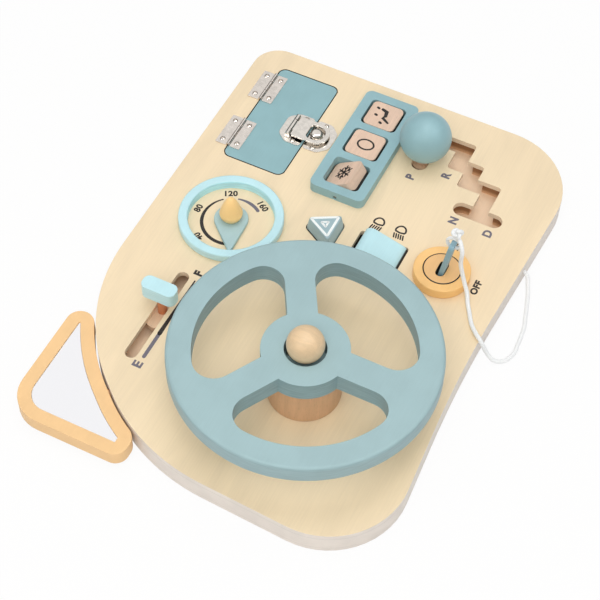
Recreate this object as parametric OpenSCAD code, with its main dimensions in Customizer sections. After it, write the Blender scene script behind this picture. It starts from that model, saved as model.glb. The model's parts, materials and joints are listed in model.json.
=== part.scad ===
// Wooden busy board: a steering wheel, a speed dial, a small door, flip blocks, a gear lever,
// a fuel slider, a hazard button, a lights rocker, a key on a cord and a side mirror.
// Millimetres. The board lies on its back: X to the right, Y up the board, Z up from the back.
// The origin is on the back face, straight under the centre of the steering wheel.

/* [Board] */
// Left edge of the board, from the steering axis
board_left = 165.5; // [162:0.5:175]
// Right edge of the board at its top, from the steering axis
board_right = 96; // [94:0.5:105]
// Top edge of the board, from the steering axis
board_top = 272; // [270:0.5:285]
// Bottom edge of the board, from the steering axis
board_bottom = 97.5; // [95:0.5:105]
// How far the right edge is drawn in at its waist
waist = 11.5; // [4:0.5:14]
// Height of the waist above the steering axis
waist_y = 60; // [40:1:90]
// Radius of the top left corner
corner_r = 20; // [8:1:30]
// Radius of the two right corners
shoulder_r = 54; // [40:1:58]
// Radius of the two long curves at the lower left
sweep_r = 138; // [120:1:142]
// Thickness of the top panel
top_t = 4; // [3:0.5:5]
// Thickness of the core
core_t = 11; // [11:0.5:15]
// Thickness of the back panel
back_t = 3; // [3:0.5:5]
// Diameter of a back screw's head
back_head_d = 6; // [5:0.5:7]

/* [Steering wheel] */
// Diameter of the wheel
wheel_d = 176; // [160:1:180]
// Thickness of the wheel
wheel_t = 14.4; // [13:0.2:18]
// Width of the rim
rim_w = 16.4; // [12:0.2:20]
// Diameter of the hub
hub_d = 57; // [52:1:64]
// Width of a spoke
spoke_w = 19.6; // [14:0.2:24]
// Radius where a spoke meets the rim
spoke_r = 14; // [6:1:16]
// Rounding of the wheel's outer edges
wheel_edge_r = 2.5; // [1:0.5:4]
// Height of the wheel's underside above the board
wheel_lift = 33; // [30:0.5:45]
// Diameter of the column
column_d = 48.8; // [44:0.2:52]
// Diameter of the spigot that turns in the top panel
spigot_d = 20; // [16:0.5:24]
// Diameter of the retaining disc under the top panel
retainer_d = 34; // [28:1:36]
// Thickness of the retaining disc
retainer_t = 3; // [2.5:0.5:4]

/* [Horn] */
// Diameter of the horn ball
horn_d = 24.6; // [22:0.2:26]
// Clear space around the horn ball in its well
horn_gap = 1.4; // [0.8:0.1:2]
// Height of the ball's centre above the wheel's top
horn_rise = 4.4; // [3.5:0.2:6]
// Floor left under the well
hub_floor = 3; // [2.5:0.5:4]
// Travel of the horn
horn_travel = 3; // [2:0.25:3.5]
// Diameter of the horn's stem
stem_d = 8; // [6:0.5:9]

/* [Speed dial] */
// Centre of the dial, across the board
dial_x = -108; // [-112:0.5:-106]
// Centre of the dial, up the board
dial_y = 104; // [102:0.5:106]
// Outer diameter of the ring
ring_d = 74; // [68:1:76]
// Wall of the ring
ring_wall = 6.5; // [4:0.5:7]
// Height of the ring
ring_h = 7; // [5:0.5:9]
// Radius of the pointer's round head
pointer_r = 12; // [10.5:0.5:13]
// Length of the pointer from its pivot to its tip
pointer_l = 28.6; // [24:0.2:29]
// Thickness of the pointer
pointer_t = 3.5; // [3:0.25:4.5]
// Direction of the pointer, in degrees from the right
pointer_angle = -65; // [-180:5:180]
// Largest diameter of the pull knob
knob_d = 16.4; // [15:0.2:20]
// Height of the pull knob
knob_h = 21; // [16:0.5:23]
// Diameter of the pull knob's foot
knob_foot_d = 11.2; // [9:0.2:14]
// Height of the pull knob's widest place above its foot
knob_belly = 6; // [4:0.5:8]
// Diameter of the pull knob's rounded tip
knob_tip_d = 6.4; // [5:0.2:8]
// Diameter of the dial's axle
axle_d = 5; // [4:0.5:6]

/* [Door] */
// Centre of the door, across the board
door_x = -119.5; // [-121:0.5:-118]
// Centre of the door, up the board
door_y = 205.75; // [204:0.25:208]
// Width of the door
door_w = 47.4; // [46:0.2:48.4]
// Height of the door
door_l = 96.5; // [90:0.5:98]
// Gap around the door
door_gap = 0.8; // [0.6:0.1:1.2]
// Ledge that the door closes on
door_ledge = 3; // [2:0.5:5]
// Length of a hinge
hinge_l = 29; // [24:0.5:31]
// Distance between the two hinges' centres
hinge_pitch = 51.2; // [46:0.2:56]
// Width of a hinge leaf
leaf_w = 10; // [8.5:0.5:11]
// Thickness of the hinge and latch plates
plate_t = 0.7; // [0.5:0.1:1]
// Radius of a hinge knuckle
knuckle_r = 1.2; // [1.1:0.05:1.5]

/* [Latch] */
// Centre of the latch, up the board
latch_y = 203; // [200:0.5:206]
// Width of the latch's two plates
latch_w = 29.4; // [28:0.2:32]
// Length of the loop from its pin to its tip
loop_l = 28.8; // [28:0.2:29.6]
// Width of the loop
loop_w = 20; // [19:0.5:21]
// Width of the loop's band
loop_band = 3.2; // [2.8:0.2:3.4]
// Length of the loop's window
loop_window = 12.8; // [12:0.2:13.2]
// Thickness of the loop
loop_t = 1.4; // [1.2:0.1:1.8]
// Diameter of the bump that the loop closes over
bump_d = 9.6; // [8:0.2:10]
// Height of the bump
bump_h = 4.6; // [3:0.2:5]

/* [Flip blocks] */
// Centre of the button frame, across the board
frame_x = -52; // [-54:0.5:-50]
// Centre of the button frame, up the board
frame_y = 205.75; // [204:0.25:208]
// Width of the button frame
frame_w = 42; // [40:0.5:44]
// Length of the button frame
frame_l = 102.5; // [100:0.5:106]
// Height of the button frame
frame_h = 8; // [7.5:0.25:10]
// Side of a block's square face
block_w = 24; // [22:0.25:24.5]
// Thickness of a block
block_t = 11; // [10:0.25:12]
// Clear space around a turning block
block_gap = 0.55; // [0.4:0.05:0.8]
// Width of the button frame's two ends, past the outer windows
frame_end = 7.1; // [6.3:0.1:7.5]
// Diameter of the blocks' axle
block_axle_d = 3; // [2.5:0.25:3.5]
// Turn of the snowflake block at rest
snow_tilt = 33; // [0:1:45]

/* [Gear lever] */
// Width of the gate's slots
gate_w = 12; // [11:0.5:13]
// Diameter of the lever's ball
ball_d = 37.2; // [34:0.2:40]
// Height of the ball's centre above the board
ball_lift = 21; // [20.5:0.5:30]
// Diameter of the lever's stem
lever_d = 9.6; // [8:0.2:10]
// Place of the lever in the P slot, up the board
lever_y = 220.5; // [216:0.5:238]
// Width of the lip that holds the foot under the top panel
foot_lip = 2.5; // [1.5:0.25:3.5]

/* [Fuel slider] */
// Centre of the slot, across the board
fuel_x = -114.5; // [-116:0.5:-113]
// Lower end of the slot
fuel_low = -29; // [-31:0.5:-20]
// Upper end of the slot
fuel_high = 49.5; // [40:0.5:50]
// Width of the slot
fuel_w = 9; // [8:0.5:10]
// Place of the slider in its slot, up the board
fuel_y = 17; // [0:0.5:30]
// Length of the handle across the board
handle_l = 25; // [20:0.5:27]
// Width of the handle
handle_w = 11; // [10:0.5:13]
// Thickness of the handle
handle_t = 11; // [9:0.5:12]
// Height of the handle's underside above the board
handle_lift = 11.5; // [8:0.5:16]
// Diameter of the slider's stem
slider_d = 6.5; // [5.5:0.25:7]
// Length of the plate under the top panel
slide_l = 30.6; // [24:0.2:32]
// Width of that plate
slide_w = 16; // [14:0.5:17]

/* [Hazard button] */
// Right side of the button's top, across the board
hazard_x = -38.3; // [-39:0.1:-37]
// Centre of the button, up the board
hazard_y = 124.9; // [123:0.1:127]
// Side of the triangle on top
hazard_side = 21.6; // [18:0.2:23]
// Height of the button above the board
hazard_h = 9.5; // [7:0.5:11]
// How much wider the button is at the board than on top
hazard_flare = 2.6; // [1.5:0.1:3]
// Travel of the button
hazard_travel = 3; // [2:0.25:3]

/* [Lights rocker] */
// Centre of the rocker, across the board
rocker_x = -4.9; // [-6:0.1:-4]
// Centre of the rocker, up the board
rocker_y = 126; // [124:0.5:127]
// Length of the rocker across the board
rocker_l = 33.6; // [30:0.2:34]
// Width of the rocker
rocker_w = 23.6; // [20:0.2:24]
// Height of the rocker's top above its pin
rocker_up = 11; // [10:0.1:12]
// Tilt of the rocker each way
rocker_tilt = 16; // [10:1:17]
// Clear space at the rocker's ends
rocker_gap = 1.5; // [1.2:0.1:2]
// Diameter of the rocker's pin
rocker_pin_d = 4; // [3:0.5:4.5]

/* [Ignition] */
// Centre of the ignition disc, across the board
ign_x = 42.3; // [41:0.1:44]
// Centre of the ignition disc, up the board
ign_y = 126.6; // [125:0.1:128]
// Diameter of the disc
ign_d = 39.6; // [37:0.2:41]
// Height of the disc
ign_h = 8; // [6:0.5:9]
// Diameter of the turning barrel
barrel_d = 26; // [24:0.5:28]
// Width of the key
key_w = 9; // [8:0.25:10]
// Thickness of the key
key_t = 3.6; // [3:0.2:4]
// Length of the key
key_l = 41.5; // [38:0.5:42]
// Lean of the key in its slot, in degrees
key_lean = 8.5; // [4:0.5:9]
// Width of the barrel's slot
slot_w = 6.5; // [6.4:0.1:7.5]
// Length of the barrel's slot
slot_l = 14; // [13:0.5:16]
// Diameter of the cord
cord_d = 3; // [2.5:0.1:3]
// Diameter of the knot
knot_d = 9; // [8:0.25:10]

/* [Mirror] */
// Left side of the mirror, from the steering axis
mirror_left = 168.6; // [167:0.2:172]
// Bottom of the mirror, from the steering axis
mirror_bottom = 96.9; // [94:0.2:100]
// Right end of the mirror, from the steering axis
mirror_right = 81.6; // [80:0.2:88]
// Top of the mirror, from the steering axis
mirror_top = 7.6; // [4:0.2:12]
// Thickness of the mirror's frame
mirror_t = 11; // [9:0.5:12]
// Width of the mirror's rim
mirror_rim = 9.2; // [8:0.2:11]
// Gap between the mirror and the board
mirror_gap = 1.2; // [1:0.1:2]
// Thickness of the mirror plate
glass_t = 2; // [1.5:0.25:3]
// How deep the plate lies below the frame's face
glass_inset = 0.8; // [0.4:0.1:1.2]
// Diameter of the mirror's dowel
dowel_d = 6; // [5:0.5:7]

/* [Hidden] */
$fn = 96;

// Radial gap of a shaft that turns or slides in a hole
run_gap = 0.08;
// Radial gap of a pin or screw that is fixed in its hole
fix_gap = 0.04;
// Gap between flat faces that move past each other
face_gap = 0.3;
// Overlap that lets a cut run past a face
eps = 0.1;

// Levels of the board
z_core = back_t;
z_lip = back_t + core_t;
z_top = z_lip + top_t;

// Outline of the board: corners as [x, y, radius], anticlockwise
board_corners = [
    [-board_left, board_top, corner_r],
    [-board_left, board_bottom * -0.1, sweep_r],
    [91 - board_left, 8.5 - board_bottom, sweep_r],
    [board_right - 1.5, -board_bottom, shoulder_r],
    [board_right - waist, waist_y, 900],
    [board_right, board_top, shoulder_r]];

// ---- Outlines ----

function unit(v) = v / norm(v);
function xy(p) = [p[0], p[1]];
function arc(c, r, a, b, n) = [for (i = [0 : n]) c + r * [cos(a + (b - a) * i / n), sin(a + (b - a) * i / n)]];

// Points of the arc that rounds corner b between its neighbours a and c
function fillet(a, b, c) =
    let (u = unit(xy(a) - xy(b)), v = unit(xy(c) - xy(b)), half = acos(min(1, max(-1, u * v))) / 2, r = b[2],
         mid = xy(b) + unit(u + v) * r / sin(half), from = xy(b) + u * r / tan(half) - mid,
         start = atan2(from[1], from[0]), turn = 180 - 2 * half, way = u[0] * v[1] - u[1] * v[0] > 0 ? -1 : 1,
         n = max(2, ceil(turn / 9), ceil(turn * r / 400)))
    r < 0.01 ? [xy(b)] : arc(mid, r, start, start + way * turn, n);

function rounded(q) = [for (i = [0 : len(q) - 1])
    each fillet(q[(i + len(q) - 1) % len(q)], q[i], q[(i + 1) % len(q)])];

// The same outline moved outwards by d; inner corners lose radius where outer ones gain it
function grown(q, d) = [for (i = [0 : len(q) - 1])
    let (a = xy(q[(i + len(q) - 1) % len(q)]), b = xy(q[i]), c = xy(q[(i + 1) % len(q)]),
         e = unit(b - a), f = unit(c - b), n1 = [e[1], -e[0]], n2 = [f[1], -f[0]],
         way = e[0] * f[1] - e[1] * f[0] > 0 ? 1 : -1, p = b + (n1 + n2) * d / (1 + n1 * n2))
    [p[0], p[1], max(0.2, q[i][2] + way * d)]];

// A rectangle from its low corner to its high corner
function rect(x0, y0, x1, y1, r) = [[x0, y1, r], [x0, y0, r], [x1, y0, r], [x1, y1, r]];
function rect_at(x, y, w, l, r) = rect(x - w / 2, y - l / 2, x + w / 2, y + l / 2, r);

module slab(q, z, t) translate([0, 0, z]) linear_extrude(t) polygon(rounded(q));
module rod(x, y, z, r, h) translate([x, y, z]) cylinder(r = r, h = h);
// A rod along Y, from y0 to y1
module rod_y(x, y0, y1, z, r) translate([x, y0, z]) rotate([-90, 0, 0]) cylinder(r = r, h = y1 - y0);

// A disc or ring whose outer edges are rounded by e
module soft_disc(r, h, e) rotate_extrude() polygon(concat([[0, 0]],
    arc([r - e, e], e, -90, 0, 6), arc([r - e, h - e], e, 0, 90, 6), [[0, h]]));
module soft_ring(r, hole, h, e) rotate_extrude() polygon(concat([[hole, 0]],
    arc([r - e, e], e, -90, 0, 6), arc([r - e, h - e], e, 0, 90, 6), arc([hole + e, h - e], e, 90, 180, 6)));

// A tube of n sides swept along points, in rings that stay level with the path
function tangent(p, i) = unit(p[min(i + 1, len(p) - 1)] - p[max(i - 1, 0)]);
function side_of(t) = abs(t[2]) > 0.9 ? unit(cross(t, [0, 1, 0])) : unit(cross(t, [0, 0, 1]));
function next_side(s, t) = unit(s - t * (s * t));
function sides(p, i = 0, s = undef) =
    let (t = tangent(p, i), now = s == undef ? side_of(t) : next_side(s, t))
    i == len(p) - 1 ? [now] : concat([now], sides(p, i + 1, now));
module tube(p, r, n) {
    s = sides(p);
    rings = [for (i = [0 : len(p) - 1], k = [0 : n - 1])
        let (t = tangent(p, i), w = cross(t, s[i]), a = 360 * k / n) p[i] + r * (s[i] * cos(a) + w * sin(a))];
    wall = [for (i = [0 : len(p) - 2], k = [0 : n - 1])
        [i * n + k, i * n + (k + 1) % n, (i + 1) * n + (k + 1) % n, (i + 1) * n + k]];
    first = [for (k = [n - 1 : -1 : 0]) k];
    last = [for (k = [0 : n - 1]) (len(p) - 1) * n + k];
    polyhedron(rings, concat(wall, [first], [last]), convexity = 8);
}
function helix(x, y, z0, z1, r, turns, steps) = [for (i = [0 : turns * steps])
    [x + r * cos(360 * i / steps), y + r * sin(360 * i / steps), z0 + (z1 - z0) * i / (turns * steps)]];

// A pan-headed screw: its head rests on z, its shank goes down
module screw(x, y, z, head_r, head_h, shank_r, shank_l) translate([x, y, z]) {
    rotate_extrude() polygon(concat([[0, 0]], [[head_r, 0]],
        arc([head_r - head_h * 0.8, head_h * 0.2], head_h * 0.8, 0, 90, 5), [[0, head_h]]));
    translate([0, 0, -shank_l]) cylinder(r = shank_r, h = shank_l + eps);
}

// ---- Steering wheel ----

wheel_z = z_top + wheel_lift;
wheel_top = wheel_z + wheel_t;
wheel_r = wheel_d / 2;
rim_r = wheel_r - rim_w;
hub_r = hub_d / 2;
horn_z = wheel_top + horn_rise;
horn_cut = horn_d * 0.36;
well_r = horn_d / 2 + horn_gap;
well_z = wheel_z + hub_floor;
clip_t = 1;
clip_z = wheel_z - face_gap - clip_t;
column_bore_r = stem_d / 2 + 3.6;
column_bore_z = clip_z - horn_travel - 4;
hub_screw_r = 1.5;
hub_screw_at = column_bore_r + hub_screw_r + 1.6;
hub_screw_l = 13;
retainer_z = z_lip - face_gap - retainer_t;
column_screw_r = 2;
column_screw_l = 18;

// One cut-out between two spokes, the first of them along +X
function cutout() =
    let (s = spoke_w / 2, a = asin(s / hub_r), far = rim_r - spoke_r,
         c = [sqrt(far * far - (s + spoke_r) * (s + spoke_r)), s + spoke_r], b = atan2(c[1], c[0]),
         d = far * [cos(120 - b), sin(120 - b)])
    concat(arc([0, 0], hub_r, 120 - a, a, 16), arc(c, spoke_r, -90, b, 10),
        arc([0, 0], rim_r, b, 120 - b, 24), arc(d, spoke_r, 120 - b, 210, 10));

module steering_wheel() color([0.62, 0.75, 0.77]) difference() {
    translate([0, 0, wheel_z]) soft_disc(wheel_r, wheel_t, wheel_edge_r);
    for (a = [0 : 120 : 240]) translate([0, 0, wheel_z - eps]) rotate([0, 0, a])
        linear_extrude(wheel_t + 2 * eps) polygon(cutout());
    rod(0, 0, well_z, well_r, wheel_t);
    rod(0, 0, wheel_z - eps, stem_d / 2 + run_gap, wheel_t);
    for (a = [60 : 120 : 300]) rotate([0, 0, a]) rod(hub_screw_at, 0, wheel_z - eps, hub_screw_r + fix_gap, wheel_t);
}

module steering_column() color([0.80, 0.62, 0.45]) difference() {
    union() {
        rod(0, 0, z_top + face_gap, column_d / 2, wheel_lift - face_gap);
        rod(0, 0, z_lip - face_gap, spigot_d / 2, top_t + 2 * face_gap + eps);
    }
    rod(0, 0, column_bore_z, column_bore_r, wheel_lift);
    for (a = [60 : 120 : 300]) rotate([0, 0, a])
        rod(hub_screw_at, 0, well_z - hub_screw_l - eps, hub_screw_r + fix_gap, hub_screw_l);
    rod(0, 0, z_lip - face_gap - eps, column_screw_r + fix_gap, column_screw_l - retainer_t + 2 * eps);
}

module hub_screws() color("silver") for (a = [60 : 120 : 300]) rotate([0, 0, a])
    screw(hub_screw_at, 0, well_z, 2.7, 1.5, hub_screw_r, hub_screw_l);

module column_retainer() color([0.80, 0.62, 0.45]) difference() {
    rod(0, 0, retainer_z, retainer_d / 2, retainer_t);
    rod(0, 0, retainer_z - eps, column_screw_r + fix_gap, retainer_t + 2 * eps);
    rod(0, 0, retainer_z - eps, 2 * column_screw_r + 0.6, retainer_t / 2 + eps);
}

module column_screw() color("silver") {
    rod(0, 0, retainer_z + 0.2, 2 * column_screw_r, retainer_t / 2 - 0.2);
    rod(0, 0, retainer_z + 0.3, column_screw_r, column_screw_l - 0.3);
}

// ---- Horn ----

stem_in = 6;
module horn_ball() color([0.93, 0.80, 0.62]) difference() {
    translate([0, 0, horn_z]) sphere(r = horn_d / 2);
    rod(0, 0, horn_z - horn_d, horn_d, horn_d - horn_cut);
    rod(0, 0, horn_z - horn_cut - eps, stem_d / 2 + fix_gap, stem_in + eps);
}
module horn_stem() color([0.85, 0.68, 0.50]) difference() {
    rod(0, 0, clip_z - 1.5, stem_d / 2, horn_z - horn_cut + stem_in - clip_z + 1.5 - 0.05);
    translate([0, 0, clip_z - 0.02]) difference() {
        cylinder(r = stem_d, h = clip_t + 0.04);
        translate([0, 0, -eps]) cylinder(r = stem_d / 2 - 0.6, h = clip_t + 1);
    }
}
module horn_clip() color("silver") difference() {
    rod(0, 0, clip_z, stem_d / 2 + 2, clip_t);
    rod(0, 0, clip_z - eps, stem_d / 2 - 0.6 + fix_gap, clip_t + 2 * eps);
}
module horn_spring() color("silver")
    tube(helix(0, 0, well_z + 0.8, horn_z - horn_cut - 0.8, stem_d / 2 + 1.1, 2, 16), 0.5, 6);

// ---- Speed dial ----

pointer_z = z_top + 0.4;
knob_z = pointer_z + pointer_t;
axle_r = axle_d / 2;
axle_in = 8;
dial_clip_t = 1.2;
dial_clip_z = z_lip - face_gap - dial_clip_t;

// Half outline of the bell-shaped knob: it swells from its foot to the belly, then tapers to a round tip
function knob_r(h) = h < knob_belly ? knob_d / 2 - (knob_d - knob_foot_d) / 2 * pow(1 - h / knob_belly, 2)
    : let (up = (h - knob_belly) / (knob_h - knob_belly))
        (knob_d - (knob_d - knob_tip_d) * up) / 2 * sqrt(max(0, 1 - pow(up, 6)));

module speed_ring() color([0.78, 0.93, 0.96]) translate([dial_x, dial_y, z_top])
    soft_ring(ring_d / 2, ring_d / 2 - ring_wall, ring_h, 1.2);

module speed_pointer() color([0.62, 0.75, 0.77]) translate([dial_x, dial_y, pointer_z])
    rotate([0, 0, pointer_angle]) difference() {
        tip_r = 1.5;
        reach = pointer_l - tip_r;
        b = acos((pointer_r - tip_r) / reach);
        linear_extrude(pointer_t)
            polygon(concat(arc([0, 0], pointer_r, b, 360 - b, 36), arc([reach, 0], tip_r, -b, b, 8)));
        translate([0, 0, -eps]) cylinder(r = axle_r + fix_gap, h = pointer_t + 2 * eps);
    }

module pointer_knob() color([0.97, 0.79, 0.50]) translate([dial_x, dial_y, knob_z]) difference() {
    steps = 36;
    rotate_extrude() polygon(concat([[0, 0]],
        [for (i = [0 : steps]) [knob_r(knob_h * i / steps), knob_h * i / steps]]));
    translate([0, 0, -eps]) cylinder(r = axle_r + fix_gap, h = axle_in + eps);
}

module pointer_axle() color([0.85, 0.68, 0.50]) difference() {
    rod(dial_x, dial_y, dial_clip_z - 1.5, axle_r, knob_z + axle_in - dial_clip_z + 1.5 - 0.05);
    translate([dial_x, dial_y, dial_clip_z - 0.02]) difference() {
        cylinder(r = axle_d, h = dial_clip_t + 0.04);
        translate([0, 0, -eps]) cylinder(r = axle_r - 0.5, h = dial_clip_t + 1);
    }
}
module pointer_clip() color("silver") difference() {
    rod(dial_x, dial_y, dial_clip_z, axle_r + 3, dial_clip_t);
    rod(dial_x, dial_y, dial_clip_z - eps, axle_r - 0.5 + fix_gap, dial_clip_t + 2 * eps);
}

// ---- Door, hinges and latch ----

door_corners = rect_at(door_x, door_y, door_w, door_l, 5);
door_t = top_t - 0.2;
hinge_x = door_x - door_w / 2 - door_gap / 2;
hinge_z = z_top + knuckle_r + 0.15;
pin_r = knuckle_r / 2;
hinge_ys = [door_y - 0.3 + hinge_pitch / 2, door_y - 0.3 - hinge_pitch / 2];
knuckle_l = hinge_l / 3;
knuckle_gap = 0.15;
plate_screw_r = 0.9;
plate_screw_l = 3.4;
screw_in = 4.6;

door_edge_x = door_x + door_w / 2;
latch_x = door_edge_x - 13.2;
latch_knuckle_r = 1.9;
latch_knuckle_l = 5;
latch_pin_r = 0.9;
latch_z = z_top + 3.2;
latch_r = latch_w / 2;
window_x = latch_x + loop_l - loop_band - loop_window;
bump_x = window_x + loop_window / 2;
catch_x0 = door_edge_x + door_gap + 0.4;
catch_x1 = latch_x + loop_l + 4;

hinge_screw_at = [for (y = hinge_ys, s = [-1, 1]) [y + s * (hinge_l / 2 - screw_in)]];
frame_screws = [for (y = hinge_screw_at) [hinge_x - leaf_w * 0.6, y[0]]];
door_screws = [for (y = hinge_screw_at) [hinge_x + leaf_w * 0.55, y[0]]];
latch_door_at = [for (s = [-1, 1]) [latch_x + 5.6, latch_y + s * (latch_r - 2.7)]];
latch_catch_at = [for (s = [-1, 1]) [bump_x + 2.4, latch_y + s * (latch_r - 2.7)]];

module plate_screw_holes(at, low) for (p = at)
    rod(p[0], p[1], z_top - low, plate_screw_r + fix_gap, low + 2);
module plate_screws(at) color("silver") for (p = at)
    screw(p[0], p[1], z_top + plate_t, 1.9, 0.9, plate_screw_r, plate_screw_l + plate_t);

module door() color([0.57, 0.72, 0.75]) difference() {
    slab(door_corners, z_top - door_t, door_t);
    plate_screw_holes(door_screws, plate_screw_l + 0.1);
    plate_screw_holes(latch_door_at, plate_screw_l + 0.1);
}

// One leaf: a plate on one side of the pin and its share of the knuckles
module leaf(side, y, mine) difference() {
    union() {
        slab(side < 0
            ? rect(hinge_x - leaf_w, y - hinge_l / 2, hinge_x - knuckle_r - 0.2, y + hinge_l / 2, 0.8)
            : rect(hinge_x + knuckle_r + 0.2, y - hinge_l / 2, hinge_x + leaf_w - 0.6, y + hinge_l / 2, 0.8),
            z_top, plate_t);
        for (k = mine) {
            y0 = y - hinge_l / 2 + k * knuckle_l + knuckle_gap;
            y1 = y0 + knuckle_l - 2 * knuckle_gap;
            rod_y(hinge_x, y0, y1, hinge_z, knuckle_r);
            x0 = side < 0 ? hinge_x - knuckle_r - 0.4 : hinge_x;
            translate([x0, y0, z_top + 0.02]) cube([knuckle_r + 0.4, y1 - y0, plate_t - 0.02]);
        }
    }
    rod_y(hinge_x, y - hinge_l, y + hinge_l, hinge_z, pin_r + run_gap);
    plate_screw_holes(side < 0 ? frame_screws : door_screws, 1);
}
module hinge_frame_leaves() color("silver") for (y = hinge_ys) leaf(-1, y, [0, 2]);
module hinge_door_leaves() color("silver") for (y = hinge_ys) leaf(1, y, [1]);
module hinge_pins() color("silver") for (y = hinge_ys)
    rod_y(hinge_x, y - hinge_l / 2, y + hinge_l / 2, hinge_z, pin_r);
module hinge_frame_screws() plate_screws(frame_screws);
module hinge_door_screws() plate_screws(door_screws);

module latch_plate() color("silver") difference() {
    union() {
        slab([[latch_x - 7.5, latch_y + latch_r - 6, 6], [latch_x - 7.5, latch_y - latch_r + 6, 6],
            [latch_x, latch_y - latch_r, 5], [door_edge_x - 1.4, latch_y - latch_r, 2.5],
            [door_edge_x - 1.4, latch_y + latch_r, 2.5], [latch_x, latch_y + latch_r, 5]], z_top, plate_t);
        for (s = [-1, 1]) {
            y0 = latch_y + s * (loop_w - latch_knuckle_l) / 2 - latch_knuckle_l / 2;
            rod_y(latch_x, y0, y0 + latch_knuckle_l, latch_z, latch_knuckle_r);
            translate([latch_x - latch_knuckle_r, y0, z_top + 0.02])
                cube([2 * latch_knuckle_r, latch_knuckle_l, latch_z - z_top - 0.02]);
        }
    }
    rod_y(latch_x, latch_y - loop_w, latch_y + loop_w, latch_z, latch_pin_r + run_gap);
    plate_screw_holes(latch_door_at, 1);
}

loop_z = latch_z - loop_t / 2;
tongue_l = loop_w / 2 - latch_knuckle_l - 0.3;
module latch_loop() color("silver") difference() {
    union() {
        slab(rect(latch_x, latch_y - tongue_l, latch_x + 6, latch_y + tongue_l, 0.2), loop_z, loop_t);
        slab([[latch_x + latch_knuckle_r + 0.3, latch_y + loop_w / 2, 2],
            [latch_x + latch_knuckle_r + 0.3, latch_y - loop_w / 2, 2],
            [latch_x + loop_l, latch_y - loop_w / 2, loop_w / 2 - 0.5],
            [latch_x + loop_l, latch_y + loop_w / 2, loop_w / 2 - 0.5]], loop_z, loop_t);
        rod_y(latch_x, latch_y - tongue_l, latch_y + tongue_l, latch_z, latch_knuckle_r);
    }
    rod_y(latch_x, latch_y - loop_w, latch_y + loop_w, latch_z, latch_pin_r + run_gap);
    slab([[window_x, latch_y + loop_w / 2 - loop_band, 3], [window_x, latch_y - loop_w / 2 + loop_band, 3],
        [window_x + loop_window, latch_y - loop_w / 2 + loop_band, loop_w / 2 - loop_band - 0.5],
        [window_x + loop_window, latch_y + loop_w / 2 - loop_band, loop_w / 2 - loop_band - 0.5]],
        loop_z - eps, loop_t + 2 * eps);
}
module latch_pin() color("silver") rod_y(latch_x, latch_y - loop_w / 2, latch_y + loop_w / 2, latch_z, latch_pin_r);

module latch_catch() color("silver") difference() {
    union() {
        slab([[catch_x0, latch_y + latch_r, 2], [catch_x0, latch_y - latch_r, 2],
            [catch_x1 - 7, latch_y - latch_r, 6], [catch_x1, latch_y - latch_r + 7, 6],
            [catch_x1, latch_y + latch_r - 7, 6], [catch_x1 - 7, latch_y + latch_r, 6]], z_top, plate_t);
        translate([bump_x, latch_y, z_top + 0.1]) soft_disc(bump_d / 2, bump_h + plate_t - 0.1, bump_h * 0.6);
    }
    plate_screw_holes(latch_catch_at, 1);
}
module latch_door_screws() plate_screws(latch_door_at);
module latch_catch_screws() plate_screws(latch_catch_at);

// ---- Flip blocks ----

block_l = block_w + 0.3;
sweep = norm([block_w, block_t]) / 2;
window_w = 2 * (sweep + block_gap);
window_l = block_l + 1;
bar_w = (frame_l - 2 * frame_end - 3 * window_l) / 2;
block_pitch = window_l + bar_w;
block_z = z_top + frame_h - block_t / 2;
block_ys = [frame_y + block_pitch, frame_y, frame_y - block_pitch];
pocket_l = 3 * window_l + 2 * bar_w;
block_axle_r = block_axle_d / 2;
axle_y0 = frame_y - frame_l / 2 + 1;
axle_y1 = frame_y + pocket_l / 2 + 5;

module button_frame() color([0.57, 0.73, 0.77]) difference() {
    slab(rect_at(frame_x, frame_y, frame_w, frame_l, 5), z_top, frame_h);
    for (y = block_ys) slab(rect_at(frame_x, y, window_w, window_l, 3.5), z_top - eps, frame_h + 2 * eps);
    rod_y(frame_x, frame_y - frame_l / 2 - eps, axle_y1 + 0.1, block_z, block_axle_r + fix_gap);
}
module block_axle() color("silver") rod_y(frame_x, axle_y0, axle_y1, block_z, block_axle_r);

module block(y, tilt) color([0.90, 0.79, 0.68]) translate([frame_x, y, block_z]) rotate([0, -tilt, 0]) difference() {
    slab(rect_at(0, 0, block_w, block_l, 4), -block_t / 2, block_t);
    rod_y(0, -block_l, block_l, 0, block_axle_r + run_gap);
}
module block_air() block(block_ys[0], 0);
module block_oval() block(block_ys[1], 0);
module block_snow() block(block_ys[2], snow_tilt);

// ---- Gear lever ----

gate_r = gate_w / 2;
lever_x = -12;
gate_row1 = 242;
gate_row2 = 225.4;
gate_row3 = 212.4;
gate_row4 = 187.8;
gate_low = 213.5;
gate_r_x = 12.7;
gate_2_x = 25.6;
gate_3_x = 44;
gate_n_x = 31.7;
gate_d_x = 56.3;
bend_r = 2.5;
// The slots of the gate: [x0, y0, x1, y1, corner radius] along their centre lines
gate_slots = [
    [lever_x, gate_low, lever_x, gate_row1 - 4, gate_r],
    [lever_x, gate_row1, gate_r_x, gate_row1, bend_r],
    [gate_r_x, gate_row2, gate_r_x, gate_row1, bend_r],
    [gate_r_x, gate_row2, gate_2_x, gate_row2, bend_r],
    [gate_2_x, gate_row3, gate_2_x, gate_row2, bend_r],
    [gate_2_x, gate_row3, gate_3_x, gate_row3, bend_r],
    [gate_3_x, gate_row4, gate_3_x, gate_row3, bend_r],
    [gate_n_x, gate_row4, gate_d_x, gate_row4, gate_r]];
foot_t = 3;
foot_r = gate_r + foot_lip;
foot_z = z_lip - face_gap - foot_t;
ball_z = z_top + ball_lift;
ball_in = 10;

module gate(more, z, t) for (s = gate_slots)
    slab(rect(s[0] - gate_r - more, s[1] - gate_r - more, s[2] + gate_r + more, s[3] + gate_r + more,
        s[4] + more - (s[4] == gate_r ? 0.01 : 0)), z, t);

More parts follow.
